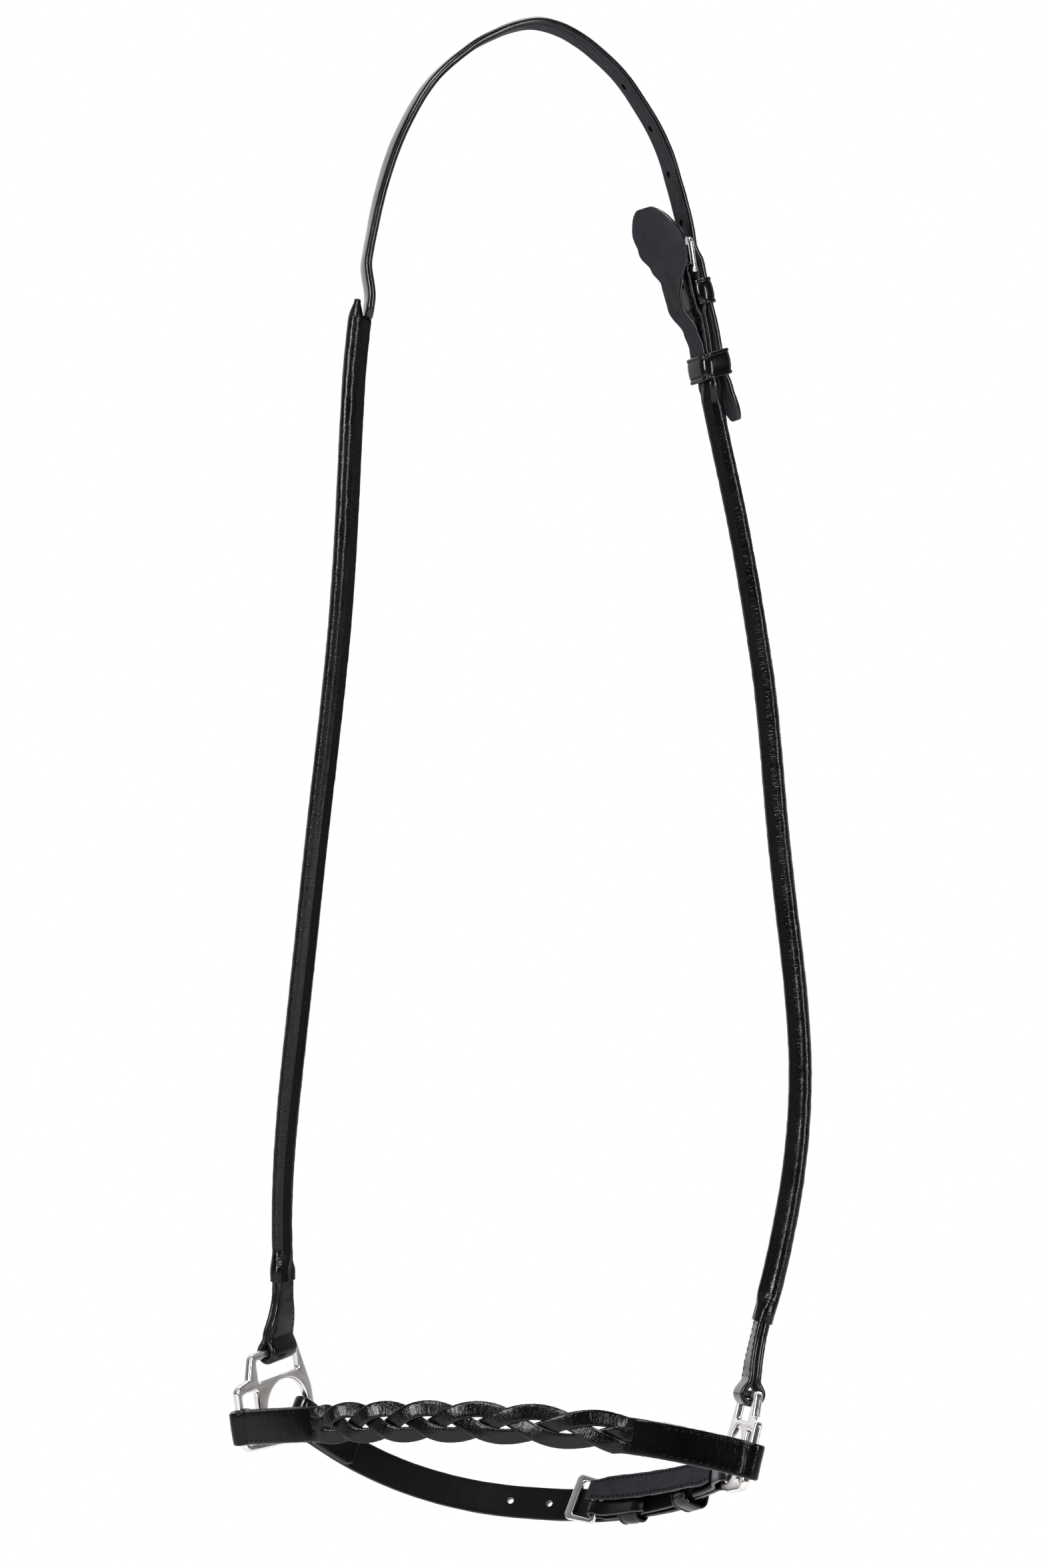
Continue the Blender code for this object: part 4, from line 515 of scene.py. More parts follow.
def worn_leather():
    """The face of leather: creases across its length, pebbled grain, pores, and wandering tone and gloss."""
    tree, given, end = node_group("worn_leather", "Shader", [
        ("Surface", "Vector", None), ("Place", "Vector", None), ("Creases", "Vector", (420.0, 110.0, 1.0)),
        ("Crease Depth", "Float", 1.0), ("Grain Scale", "Float", 1500.0), ("Grain Depth", "Float", 0.3)], WEAR)
    place = given["Place"]
    drawn = node(tree, "Mapping", {"Vector": given["Surface"], "Scale": given["Creases"]})
    creases = node(tree, "TexNoise", {"Vector": drawn, "Scale": 1.0, "Detail": 3.0, "Roughness": 0.55,
                                      "Distortion": 0.6})
    cells = node(tree, "TexVoronoi", {"Vector": place, "Scale": given["Grain Scale"]})
    pores = node(tree, "TexNoise", {"Vector": place, "Scale": 3200.0, "Detail": 1.0})
    patches = node(tree, "TexNoise", {"Vector": place, "Scale": 55.0, "Detail": 3.0})
    deep = times(tree, creases, given["Crease Depth"])
    pebbles = times(tree, cells.outputs["Distance"], given["Grain Depth"], deep)
    wire(tree, end, {"Height": times(tree, pores, 0.08, pebbles), "Tone": times(tree, patches, pores),
                     "Gloss": times(tree, creases, patches)})
    return tree


WORN_LEATHER = worn_leather()


def leather(name, dark, pale, gloss, creases, crease_depth, grain, grain_depth, bump, coat=0.0, shine=0.5):
    """Leather between two colours and two roughnesses, its creases given by their counts per metre."""
    made, tree, shader = new_material(name, Coat_Weight=coat, Coat_Roughness=0.16, Specular_IOR_Level=shine)
    surface = node(tree, "UVMap", uv_map="UVMap")
    face = node(tree, "Group", {"Surface": surface, "Place": node(tree, "TexCoord").outputs["Object"],
                                "Creases": (*creases, 1.0), "Crease Depth": crease_depth, "Grain Scale": grain,
                                "Grain Depth": grain_depth}, node_tree=WORN_LEATHER)
    worn(tree, shader, face, ((0.16, dark), (0.40, pale)), (0.12, 0.40), gloss, bump, 0.0004)
    return made


BLACK, SOOT, ASH = (0.0014, 0.0014, 0.0017), (0.0032, 0.0032, 0.0040), (0.022, 0.023, 0.032)
DARK_ASH, UMBER, LAMPBLACK = (0.006, 0.006, 0.008), (0.0060, 0.0055, 0.0065), (0.0040, 0.0040, 0.0046)
GLAZED = leather("glazed_leather", BLACK, SOOT, (0.12, 0.24), (260.0, 60.0), 0.7, 1500.0, 0.12, 0.22, 0.15, 0.32)
CREASED = leather("creased_leather", BLACK, SOOT, (0.14, 0.28), (1300.0, 420.0), 1.2, 1300.0, 0.22, 0.38, 0.12,
                  0.30)
PRESSED = leather("pressed_leather", BLACK, SOOT, (0.10, 0.20), (1100.0, 260.0), 1.0, 1300.0, 0.20, 0.36, 0.08,
                  0.18)
DULL = leather("flesh_leather", DARK_ASH, ASH, (0.55, 0.85), (160.0, 300.0), 0.6, 2200.0, 0.6, 0.4, shine=0.25)
# Matt black lining for the chin straps. The same dull copy of the black leather is also painted shade on the
# rolls' flanges.
LINING_AND_FLANGE_SHADE = leather("lining_and_flange_shade_leather", BLACK, LAMPBLACK, (0.45, 0.65), (260.0, 200.0), 0.5, 1800.0, 0.3, 0.25,
                 shine=0.08)
DYED_EDGE = leather("dyed_edge", BLACK, UMBER, (0.16, 0.32), (90.0, 900.0), 0.6, 2500.0, 0.1, 0.14, 0.2, 0.4)
STRAP_FINISH, SOFT_FINISH = (GLAZED, DULL, DYED_EDGE), (DULL, DULL, DYED_EDGE)

OVER_FRONT = FRAME_THICK / 2 + SEAM_GAP + CROWN_THICK / 2
OVER_HEEL = HEEL_EYE + CHAPE_THICK / 2 + SEAM_GAP + CROWN_THICK / 2
OVER_KEEPER = KEPT_HALF + CHAPE_THICK / 2 + SEAM_GAP + CROWN_THICK / 2
OVER_MOUTH = MOUTH_HALF_THICK + 2 * RUNNING_GAP + CROWN_THICK / 2
CROWN_RISE = (
    (OFF_CHEEK_LENGTH + CROWN_OVERLAP_EASE / 2, -(ROLL_RADIUS - ROLL_OFFSET + SEAM_GAP + CROWN_THICK / 2)),
    (OFF_CHEEK_LENGTH + CROWN_OVERLAP_EASE * 1.6, 0.0), (CHEEK_HEEL - FRAME_LENGTH * 3, 0.0),
    (CHEEK_HEEL - FRAME_LENGTH, OVER_FRONT), (CHEEK_HEEL - FRAME_LENGTH * 0.8, OVER_FRONT),
    (CHEEK_HEEL - HEEL_EYE, OVER_HEEL), (CHEEK_HEEL + HEEL_EYE, OVER_HEEL),
    (CHEEK_HEEL + CHEEK_KEEPER_PLACE + KEEPER_LENGTH, OVER_KEEPER),
    (CHEEK_HEEL + CHEEK_RUNNER_PLACE, OVER_KEEPER),
    (CHEEK_HEEL + CHEEK_RUNNER_PLACE + KEEPER_LENGTH, OVER_MOUTH),
    (CHEEK_HEEL + BILLET_TAIL, max(BILLET_SPRING, OVER_MOUTH)),
)


def crown_height(place):
    """How far off its lane the headpiece runs, sewn over the off roll and lying over the buckle."""
    return table(CROWN_RISE, place)


def end_marks(end, way, reach):
    """Marks that close up towards a strap's end, whose edge is rubbed round."""
    return [end - way * (reach * s) for s in END_SHARES]


def strap_marks(start, end, start_reach, end_reach):
    """Marks for a whole strap with two such ends."""
    return (end_marks(start, -1, start_reach)
            + spread_steps(start + start_reach, end - end_reach, FINE_STEP)[1:-1]
            + end_marks(end, 1, end_reach)[::-1])


def end_thick(thick, distance):
    """A strap's last half millimetre is rubbed thin and round."""
    x = 1 - min(distance / RUBBED_REACH, 1.0)
    return thick * (RUBBED_SHARE + (1 - RUBBED_SHARE) * sqrt(max(1 - x * x, 0.0)))


def punched(piece, lane, spots, length, width, depth):
    """Punches round or long holes through a strap at these places and heights, square to its face."""
    shape = bmesh.new()
    half = max(length - width, 0.0) / 2
    turns = [2 * pi * k / HOLE_SIDES for k in range(HOLE_SIDES)]
    loop = [(copysign(half, cos(a)) + cos(a) * width / 2, sin(a) * width / 2) for a in turns]
    for place, height in spots:
        point, along, across, out = lane.at(place)
        middle = point + out * height
        low, high = ([shape.verts.new(tuple(middle + along * x + across * y + out * lift)) for x, y in loop]
                     for lift in (-depth, depth))
        for i in range(HOLE_SIDES):
            j = (i + 1) % HOLE_SIDES
            shape.faces.new((low[i], low[j], high[j], high[i]))
        shape.faces.new(low[::-1])
        shape.faces.new(high)
    bmesh.ops.recalc_face_normals(shape, faces=shape.faces)
    cutters = new_piece("punches", finished("punches", shape), (DYED_EDGE,), None)
    change = piece.modifiers.new("punched", "BOOLEAN")
    change.operation, change.solver, change.object = "DIFFERENCE", "EXACT", cutters
    mesh = plain_mesh(piece)
    piece.modifiers.clear()
    piece.data = mesh
    bpy.data.objects.remove(cutters)
    mesh.set_sharp_from_angle(angle=LEATHER_SHARP)


crown_start, crown_end = OFF_CHEEK_LENGTH, CHEEK_HEEL + BILLET_TAIL
crown_marks = strap_marks(crown_start, crown_end, CROWN_END_TIP, CROWN_END_TIP * 2)
crown_sections = []
for m in crown_marks:
    before, after = m - crown_start, crown_end - m
    width = min(tip(CROWN_WIDTH, before, CROWN_END_TIP), tip(CROWN_WIDTH, after, CROWN_END_TIP * 2))
    crown_sections.append(strap_section(width, end_thick(CROWN_THICK, min(before, after))))
crown_rings = rings_along(HEAD, [(m, crown_height(m)) for m in crown_marks], crown_sections)
crown = dressed("crown_strap_leather", crown_rings, STRAP_FINISH, "headstall", "crown_strap", slots=STRAP_SLOTS,
                crease=(0.00004, 0.006, 0.012), seed=1.5)
used = CHEEK_HEEL - TONGUE_HOLE
crown_holes = [used - CROWN_HOLE_FIRST - HOLE_PITCH * k for k in range(4)]
crown_holes += [used + HOLE_PITCH * k for k in (1, 2)]
punched(crown, HEAD, [(m, crown_height(m)) for m in crown_holes], HOLE_ACROSS, HOLE_ACROSS, CROWN_THICK)
punched(crown, HEAD, [(used + TONGUE_HOLE_EASE, crown_height(used))], TONGUE_HOLE_LENGTH + 2 * TONGUE_HOLE_EASE,
        TONGUE_HOLE_WIDTH, CROWN_THICK * 1.2)


# Sewing. Waxed black thread, one short stitch after another, each pulled a little into the leather.
# A run is a line of points on the leather with the direction out of it; Geometry Nodes lay the stitches.
STITCH_PITCH, STITCH_LENGTH, STITCH_THICK, STITCH_SLANT = 0.0027, 0.0019, 0.00080, 0.16
SEWING_STEP = 0.002
seams = {}


def stitch_layer():
    tree, given, end = node_group("stitch_layer", "Geometry", [
        ("Runs", "Geometry", None), ("Pitch", "Float", STITCH_PITCH), ("Length", "Float", STITCH_LENGTH),
        ("Thickness", "Float", STITCH_THICK), ("Slant", "Float", STITCH_SLANT), ("Thread", "Material", None)],
        [("Stitches", "Geometry")])
    lines = node(tree, "GeometryNodeMeshToCurve", {"Mesh": given["Runs"]})
    spaced = node(tree, "GeometryNodeResampleCurve", {"Curve": lines, "Length": given["Pitch"]}, mode="LENGTH")
    half, thin = times(tree, given["Length"], 0.5), times(tree, given["Thickness"], 0.5)
    size = node(tree, "CombineXYZ", {0: half, 1: thin, 2: thin})
    turn = node(tree, "CombineXYZ", {2: given["Slant"]})
    ball = node(tree, "GeometryNodeMeshUVSphere", {"Segments": 8, "Rings": 5, "Radius": 1.0})
    grain = node(tree, "GeometryNodeTransform", {"Geometry": ball, "Scale": size, "Rotation": turn})
    out = node(tree, "GeometryNodeInputNamedAttribute", {"Name": "out"}, data_type="FLOAT_VECTOR")
    along = node(tree, "GeometryNodeInputTangent")
    facing = node(tree, "FunctionNodeAxesToRotation", {0: out, 1: along}, primary_axis="Z", secondary_axis="X")
    laid = node(tree, "GeometryNodeInstanceOnPoints", {"Points": spaced, "Instance": grain, "Rotation": facing})
    real = node(tree, "GeometryNodeRealizeInstances", {0: laid})
    smooth = node(tree, "GeometryNodeSetShadeSmooth", {0: real})
    threaded = node(tree, "GeometryNodeSetMaterial", {"Geometry": smooth, "Material": given["Thread"]})
    wire(tree, end, {0: threaded})
    return tree


STITCH_LAYER = stitch_layer()


def waxed_thread():
    made, tree, shader = new_material("waxed_thread", Roughness=0.45, Specular_IOR_Level=0.12)
    place = node(tree, "TexCoord").outputs["Object"]
    fibres = node(tree, "TexNoise", {"Vector": place, "Scale": 5200.0, "Detail": 2.0})
    tone = ramp(tree, fibres, (0.0, (0.002, 0.002, 0.002)), (1.0, (0.005, 0.005, 0.006)))
    twist = node(tree, "Bump", {"Height": fibres, "Strength": 0.5, "Distance": 0.0001})
    wire(tree, shader, {"Base Color": tone, "Normal": twist})
    return made


THREAD = waxed_thread()


def sew(kind, body, lane, path, aside, lift, askew=straight, side=None):
    """Notes a run of stitches: how far aside of the lane, and how far off the path, each point lies."""
    run = []
    for (point, across, face), (place, _) in zip(stations(lane, path, askew), path):
        shift = aside(place) if callable(aside) else aside
        run.append((point + across * shift + face * lift, face if side is None else across * side))
    seams.setdefault((kind, body), []).append(run)


def sew_fold(kind, body, lane, centre, way, reaches, layers, width, inset, lift):
    """Sews the two layers of a fold together along both edges, between two distances from its bar."""
    marks = spread_steps(*(centre + way * reach for reach in reaches), SEWING_STEP)
    for side in (-1, 1):
        for level in (-1, 1):
            run = [(m, level * layers(abs(m - centre))) for m in marks]
            sew(kind, body, lane, run if (level > 0) == (way > 0) else run[::-1],
                lambda m: side * (width(m) / 2 - inset), lift)


def lay_stitches(name, kind, body, pitch, length, thick, slant=STITCH_SLANT):
    """Lays every noted run of one kind on one body as a single piece of thread work."""
    mesh = bpy.data.meshes.new(name)
    points, outs, edges = [], [], []
    for run in seams[kind, body]:
        first = len(points)
        points += [tuple(p) for p, _ in run]
        outs += [tuple(o) for _, o in run]
        edges += [(k, k + 1) for k in range(first, len(points) - 1)]
    mesh.from_pydata(points, edges, [])
    mesh.attributes.new("out", "FLOAT_VECTOR", "POINT").data.foreach_set("vector", np.array(outs).ravel())
    rows = linked(name + "_runs", mesh)
    layer = rows.modifiers.new("stitches", "NODES")
    layer.node_group = STITCH_LAYER
    sizes = {"Pitch": pitch, "Length": length, "Thickness": thick, "Slant": slant, "Thread": THREAD}
    for socket in STITCH_LAYER.interface.items_tree:
        if socket.in_out == "INPUT" and socket.name in sizes:
            layer[socket.identifier] = sizes[socket.name]
    made = plain_mesh(rows)
    bpy.data.objects.remove(rows)
    new_piece(name, made, (), body)


# The rolled cheeks. Soft leather is drawn round a cord and its two edges are sewn together as a thin flange
# along the inside; at the fittings the roll opens into a flat mouth that takes the tab's two layers.
CORE_RADIUS, CORD_SIDES, CORD_STEP, CORD_LAY = 0.00165, 12, 0.003, 420
PLIES, PLY_DEPTH = 3, 0.06
FLANGE_REACH, FLANGE_THICK, FLANGE_ROOT_SHARE, FLANGE_END = 0.0054, 0.0026, 0.55, 0.0012
MOUTH_WALL, MOUTH_STRAIGHT, MOUTH_TAPER, MOUTH_SQUARE_SHARE = 0.0009, 0.0045, 0.009, 0.75
SHOULDER_LENGTH, SHOULDER_SHARE = 0.011, 0.42
SHOULDER_SHARES = (0.70, 0.60, 0.50, 0.42, 0.34, 0.26, 0.19, 0.13, 0.08, 0.04, 0.015, 0.0)
TAB_MOUTH, ROLL_TOP_LIFT = 0.031, 0.0018
ROLL_SEAM_STEP, ROLL_SEAM_ASIDE, ROLL_SEAM_DROP = 0.003, 0.52, 0.70
ROLL_TURNS = [-84, -76, -66, -56, -46, *range(-35, 216, 10), 226, 236, 246, 256, 264]
FLANGE_SIDE = ((0.30, 1.0), (0.80, 0.985), (0.98, 0.80), (1.10, FLANGE_ROOT_SHARE), (1.22, 0.36))
# The flange's faces take the second finish: a dull copy of the roll's leather that paints in the shade lying
# along the flange.
ROLL_SLOTS = [1] * 4 + [0] * 27 + [1] * 4 + [0]
ROLL_FINISH, ROLL_CREASE = (CREASED, LINING_AND_FLANGE_SHADE), (0.00014, 0.0035, 0.004)


def whole(place):
    return 1.0


def roll_section(flange_share, size_share):
    """Round over the cord, closing into the sewn flange below it."""
    ring = circle(ROLL_RADIUS * size_share, ROLL_TURNS, ROLL_OFFSET)
    for i, (wide, deep) in enumerate(FLANGE_SIDE):
        for j, side in ((i, 1), (len(ring) - 1 - i, -1)):
            ring[j] = (between(ring[j][0], side * wide * FLANGE_THICK / 2, flange_share),
                       between(ring[j][1], -deep * FLANGE_REACH, flange_share))
    return ring


def squared(half_width, half_thick, turns, width_share, thick_share):
    """A round section drawn out into its corners."""
    return [(half_width * copysign(abs(cos(a)) ** width_share, cos(a)),
             half_thick * copysign(abs(sin(a)) ** thick_share, sin(a))) for a in turns]


def opened(section, half_width, half_thick, share):
    """A roll's section on its way to its flat mouth."""
    mouth = squared(half_width, half_thick, map(radians, ROLL_TURNS), MOUTH_SQUARE_SHARE, MOUTH_SQUARE_SHARE)
    return [(between(p[0], q[0], share), between(p[1], q[1], share)) for p, q in zip(section, mouth)]


def roll_rings(marks, mouths, flange=whole, size=whole, lower=whole):
    """A roll's outer rings and those of its bore, each opening at the mouths."""
    outer, inner = [], []
    for m in marks:
        share = 1 - ease((min(abs(m - mouth) for mouth in mouths) - MOUTH_STRAIGHT) / MOUTH_TAPER)
        wide, thick = SEEN_MOUTH_WIDTH, SEEN_MOUTH_THICK * lower(m)
        outer.append(opened(roll_section(flange(m), size(m)), wide, thick, share))
        bore = circle(CORE_RADIUS + SEAM_GAP, ROLL_TURNS, ROLL_OFFSET)
        inner.append(opened(bore, wide - MOUTH_WALL, thick - MOUTH_WALL, share))
    path = [(m, 0.0) for m in marks]
    return rings_along(HEAD, path, outer), rings_along(HEAD, path, inner)


def cord_core(name, start, end, replaced):
    """The hidden cord: three cotton plies laid round each other."""
    marks = spread_steps(start, end, CORD_STEP)
    turns = [radians(360 / CORD_SIDES * k) for k in range(CORD_SIDES)]
    sections = []
    for m in marks:
        radii = [CORE_RADIUS * (1 - PLY_DEPTH + PLY_DEPTH * cos(PLIES * (a - m * CORD_LAY))) for a in turns]
        sections.append([(r * cos(a), ROLL_OFFSET + r * sin(a)) for a, r in zip(turns, radii)])
    dressed(name, rings_along(HEAD, [(m, 0.0) for m in marks], sections), (COTTON,), "headstall", replaced)


COTTON = leather("cotton_cord", (0.10, 0.09, 0.08), (0.30, 0.27, 0.22), (0.8, 0.95), (900.0, 900.0), 1.0, 2500.0,
                 0.5, 0.5)

off_top, off_seam_end = OFF_CHEEK_LENGTH + CROWN_OVERLAP_EASE / 2, OFF_CHEEK_LENGTH - SEAM_GAP
off_marks = spread_steps(TAB_MOUTH, off_seam_end, FINE_STEP)
off_cap = [off_top - SHOULDER_LENGTH * s for s in SHOULDER_SHARES]
off_cap = [m for m in off_cap if m > off_seam_end]


def shoulder(place):
    return between(1.0, SHOULDER_SHARE, ease((place - off_top + SHOULDER_LENGTH) / SHOULDER_LENGTH) ** 2)


skin, bore = roll_rings(off_marks, [TAB_MOUTH], size=shoulder)
cap, _ = roll_rings(off_cap, [TAB_MOUTH], lambda m: 1 - ease((m - off_seam_end) / FLANGE_END), shoulder)
dressed("off_cheek_roll_leather", bore[::-1] + skin + cap, ROLL_FINISH, "headstall", "off_cheek_roll",
        slots=ROLL_SLOTS, crease=ROLL_CREASE, seed=3.1)
cord_core("off_cheek_cord", TAB_MOUTH + MOUTH_STRAIGHT + MOUTH_TAPER, off_seam_end - SEAM_GAP, "off_cheek_core")

roll_end, near_mouth = CHEEK_HEEL + CHEEK_RUNNER_PLACE + KEEPER_LENGTH / 2, HEAD.length - TAB_MOUTH
near_top, kept_top = roll_end + 4 * RUNNING_GAP, roll_end - ROLL_TOP_LIFT
skin, bore = roll_rings(spread_steps(kept_top, near_mouth, FINE_STEP), [kept_top, near_mouth],
                        lower=lambda m: between(NEAR_TOP_SHARE, 1.0, ease((m - kept_top) / MOUTH_TAPER)))
dressed("near_cheek_roll_leather", skin + bore[::-1], ROLL_FINISH, "headstall", "near_cheek_roll", closed=True,
        slots=ROLL_SLOTS, crease=ROLL_CREASE, seed=7.7)
cord_core("near_cheek_cord", near_top + MOUTH_STRAIGHT + MOUTH_TAPER, near_mouth - MOUTH_STRAIGHT - MOUTH_TAPER,
          "near_cheek_core")
for start, end in ((TAB_MOUTH + MOUTH_TAPER, off_seam_end - SEWING_STEP),
                   (near_top + MOUTH_TAPER, near_mouth - MOUTH_TAPER)):
    for side in (-1, 1):
        sew("fine", "headstall", HEAD, [(m, 0.0) for m in spread_steps(start, end, ROLL_SEAM_STEP)],
            side * FLANGE_THICK * ROLL_SEAM_ASIDE, -FLANGE_REACH * ROLL_SEAM_DROP, side=side)


# The flat ends. The tabs fold round the fittings' top bars and run up into the mouths of the rolls;
# the thinner chape folds round the buckle's bar. Both layers are sewn together along both edges.
TAB_WIDTH, TAB_NECK, TAB_THICK = 0.0155, 0.0096, 0.0025
TAB_SEAM_START, TAB_SEAM_END, TAB_SEAM_INSET, TAB_SEAM_LIFT = 1.2, 0.0015, 0.0016, 0.43
TAB_EYE_CLEARANCE, TAB_EYE_RISE, EYE_SPREAD, INSERTION = 0.0012, 0.0003, 0.006, 0.0036
KEEPER_EASE, KEEPER_CORNER = 0.004, 0.0016
TONGUE_SLOT, TONGUE_SLOT_REACH, FOLD_STEPS = 0.0030, 0.0070, 24


def fold(centre, way, radius, ends, half, main_side=1):
    """The path of a strap folded round a bar, its inner layer first; half gives the layers' heights."""
    short, long = ends
    path = [(centre + way * d, -main_side * half(d)) for d in reversed(short)]
    for k in range(FOLD_STEPS + 1):
        a = pi * k / FOLD_STEPS
        path.append((centre - way * radius * sin(a), -main_side * radius * cos(a)))
    return path + [(centre + way * d, main_side * half(d)) for d in long]


def fold_steps(flank, reach):
    return spread_steps(flank, reach, FINE_STEP)[1 if flank == 0 else 0:]


def closing(flank, radius, half):
    """The layers' height: the bar's up to the flank, then closing on each other."""
    return lambda d: between(radius, half, ease((d - flank) / EYE_SPREAD))


def round_keeper(radius, half, place):
    """The layers' height where a keeper's wall is sewn between them."""
    held, reach = half + KEEPER_WALL / 2 + RUNNING_GAP, KEEPER_LENGTH / 2 + SEAM_GAP
    rows = ((0.0, radius), (place - reach, held), (place + reach, held), (place + reach + KEEPER_EASE, half))
    return lambda d: table(rows, d)


def folded_end(name, centre, way, radius, mouth, wide, thick, half, seed, replaced):
    """Two layers from inside a roll's mouth to a fold round a bar, sewn along both edges."""
    reach = abs(mouth - centre) + INSERTION
    steps = fold_steps(0.0, reach)
    path = fold(centre, way, radius, (steps, steps), half)

    def width_at(place):
        away = (place - centre) * way
        share = ease((away - EYE_SPREAD) / (reach - INSERTION - EYE_SPREAD - MOUTH_STRAIGHT))
        return between(wide, min(TAB_NECK, wide), share)

    sections = [strap_section(width_at(m), thick) for m, _ in path]
    seam = (EYE_SPREAD * TAB_SEAM_START, reach - INSERTION - TAB_SEAM_END)
    sew_fold("fine", "headstall", HEAD, centre, way, seam, half, width_at, TAB_SEAM_INSET, thick * TAB_SEAM_LIFT)
    return dressed(name, rings_along(HEAD, path, sections), STRAP_FINISH, "headstall", replaced,
                   slots=STRAP_SLOTS if way > 0 else TURNED_SLOTS, crease=(0.00010, 0.003, 0.006), seed=seed)


tab_radius = BAR_HALF + TAB_EYE_CLEARANCE + TAB_THICK / 2
tab_layers = closing(0.0, tab_radius, SEAM_GAP / 2 + TAB_THICK / 2)
for name, centre, way, mouth, seed in (("off_cheek_tab", TAB_EYE_RISE, 1, TAB_MOUTH, 2.2),
                                       ("near_cheek_tab", HEAD.length - TAB_EYE_RISE, -1, near_mouth, 5.2)):
    folded_end(name + "_leather", centre, way, tab_radius, mouth, TAB_WIDTH, TAB_THICK, tab_layers, seed, name)
chape = folded_end("near_cheek_chape_leather", CHEEK_HEEL, 1, HEEL_EYE, near_top, CROWN_WIDTH, CHAPE_THICK,
                   round_keeper(HEEL_EYE, CHAPE_HALF, CHEEK_KEEPER_PLACE), 8.4, "near_cheek_chape")


def cut_tongue_slot(piece, lane, heel):
    depth = HEEL_EYE + CHAPE_THICK
    middle = heel + (TONGUE_SLOT_REACH - depth) / 2
    punched(piece, lane, [(middle, 0.0)], TONGUE_SLOT_REACH + depth, TONGUE_SLOT, depth)


cut_tongue_slot(chape, HEAD, CHEEK_HEEL)


# The buckles: a cast frame with its heel bar in the fold, and a wire tongue bent round that bar,
# up through the strap's hole and along to the front bar.
FRAME_SIDE, FRAME_FRONT, FRAME_CORNER = 0.0020, 0.0034, 0.0028
TONGUE_RADIUS, TONGUE_LOOP, LOOP_STEPS = 0.0008, radians(250), 9
TONGUE_TIP = (0.95, 0.85, 0.60)


def frame_place(lane, heel, askew):
    """The frame lies along the lane's chord, so that a bending strap clears its front bar."""
    point, _, across, _ = lane.at(heel)
    front = lane.at(heel - FRAME_LENGTH)
    turn, shift = askew
    forward = unit(front[0] - point)
    across = unit(across + front[2])
    across = unit(across - forward * np.dot(across, forward))
    wide, ahead = across * cos(turn) - forward * sin(turn), across * sin(turn) + forward * cos(turn)
    return point + across * shift, wide, ahead, np.cross(wide, ahead)


def buckle_frame(name, lane, heel, strap_width, body, replaced, askew=(0.0, 0.0), flare=0.0):
    inner = strap_width / 2 + RUNNING_GAP
    outer, front = inner + FRAME_SIDE + flare, FRAME_LENGTH + flare
    outline = rounded([(-inner - FRAME_SIDE, -HEEL_RADIUS, FRAME_CORNER / 2),
                       (inner + FRAME_SIDE, -HEEL_RADIUS, FRAME_CORNER / 2),
                       (outer, front, FRAME_CORNER), (-outer, front, FRAME_CORNER)])
    hole = rounded_box(-inner, inner, HEEL_RADIUS, FRAME_LENGTH - FRAME_FRONT, FRAME_CORNER / 3)
    mesh = laid_casting(name, frame_place(lane, heel, askew), outline, [hole], FRAME_THICK, FRAME_EDGE)
    new_piece(name, mesh, NICKEL, body, replaced)


def buckle_tongue(name, lane, heel, height, thick, body, replaced):
    loop = HEEL_ROUND + RUNNING_GAP + SEAM_GAP + TONGUE_RADIUS
    turns = [pi / 2 + TONGUE_LOOP * k / LOOP_STEPS for k in range(LOOP_STEPS, 0, -1)]
    clear = thick / 2 + TONGUE_RADIUS + SEAM_GAP
    hole = heel - TONGUE_HOLE
    risen = hole - TONGUE_RADIUS * 3.2
    path = [(heel - loop * cos(a), loop * sin(a)) for a in turns] + [
        (heel, loop), (hole + TONGUE_HOLE * 0.52, loop + SEAM_GAP / 2),
        (hole + TONGUE_RADIUS * 1.5, height(hole) - thick / 2),
        (hole - TONGUE_RADIUS * 0.7, height(hole) + thick / 2),
        *[(m, height(m) + clear) for m in (between(risen, heel - FRAME_LENGTH, s) for s in (0.0, 0.5, 1.0))]]
    path = [(x, y) for x, y, _ in smooth_curve([(x, y, 0.0) for x, y in path], 4)]
    sizes = [1.0] * (len(path) - len(TONGUE_TIP)) + list(TONGUE_TIP)
    sections = [circle(TONGUE_RADIUS * size, range(0, 360, 24)) for size in sizes]
    dressed(name, rings_along(lane, path, sections), NICKEL[1:], body, replaced)


buckle_frame("cheek_buckle_casting", HEAD, CHEEK_HEEL, CROWN_WIDTH, "headstall", "cheek_buckle_frame")
buckle_tongue("cheek_tongue_wire", HEAD, CHEEK_HEEL, crown_height, CROWN_THICK, "cheek_tongue",
              "cheek_buckle_tongue")


# The keepers: closed bands of glazed leather that hold the billet down. A raised lip is creased along each
# end; the fixed one is sewn between the chape's layers and the running one slides over everything.
KEEPER_PROFILE = (
    (-0.500, -0.00070), (-0.496, -0.00035), (-0.482, -0.00002), (-0.455, 0.00020), (-0.420, 0.00026),
    (-0.385, 0.00018), (-0.358, -0.00006), (-0.340, -0.00016), (-0.315, -0.00006), (-0.260, 0.00010),
    (-0.180, 0.00022), (-0.08, 0.00028),
)
KEEPER_BORE = ((0.485, 0.0002), (0.46, 0.0), (-0.46, 0.0), (-0.485, 0.0002))
KEEPER_ROUND, KEEPER_ARC, CHEEK_RUNNER_SKEW, GUARD_THICK = 0.0012, radians(10), -0.14, 0.0018


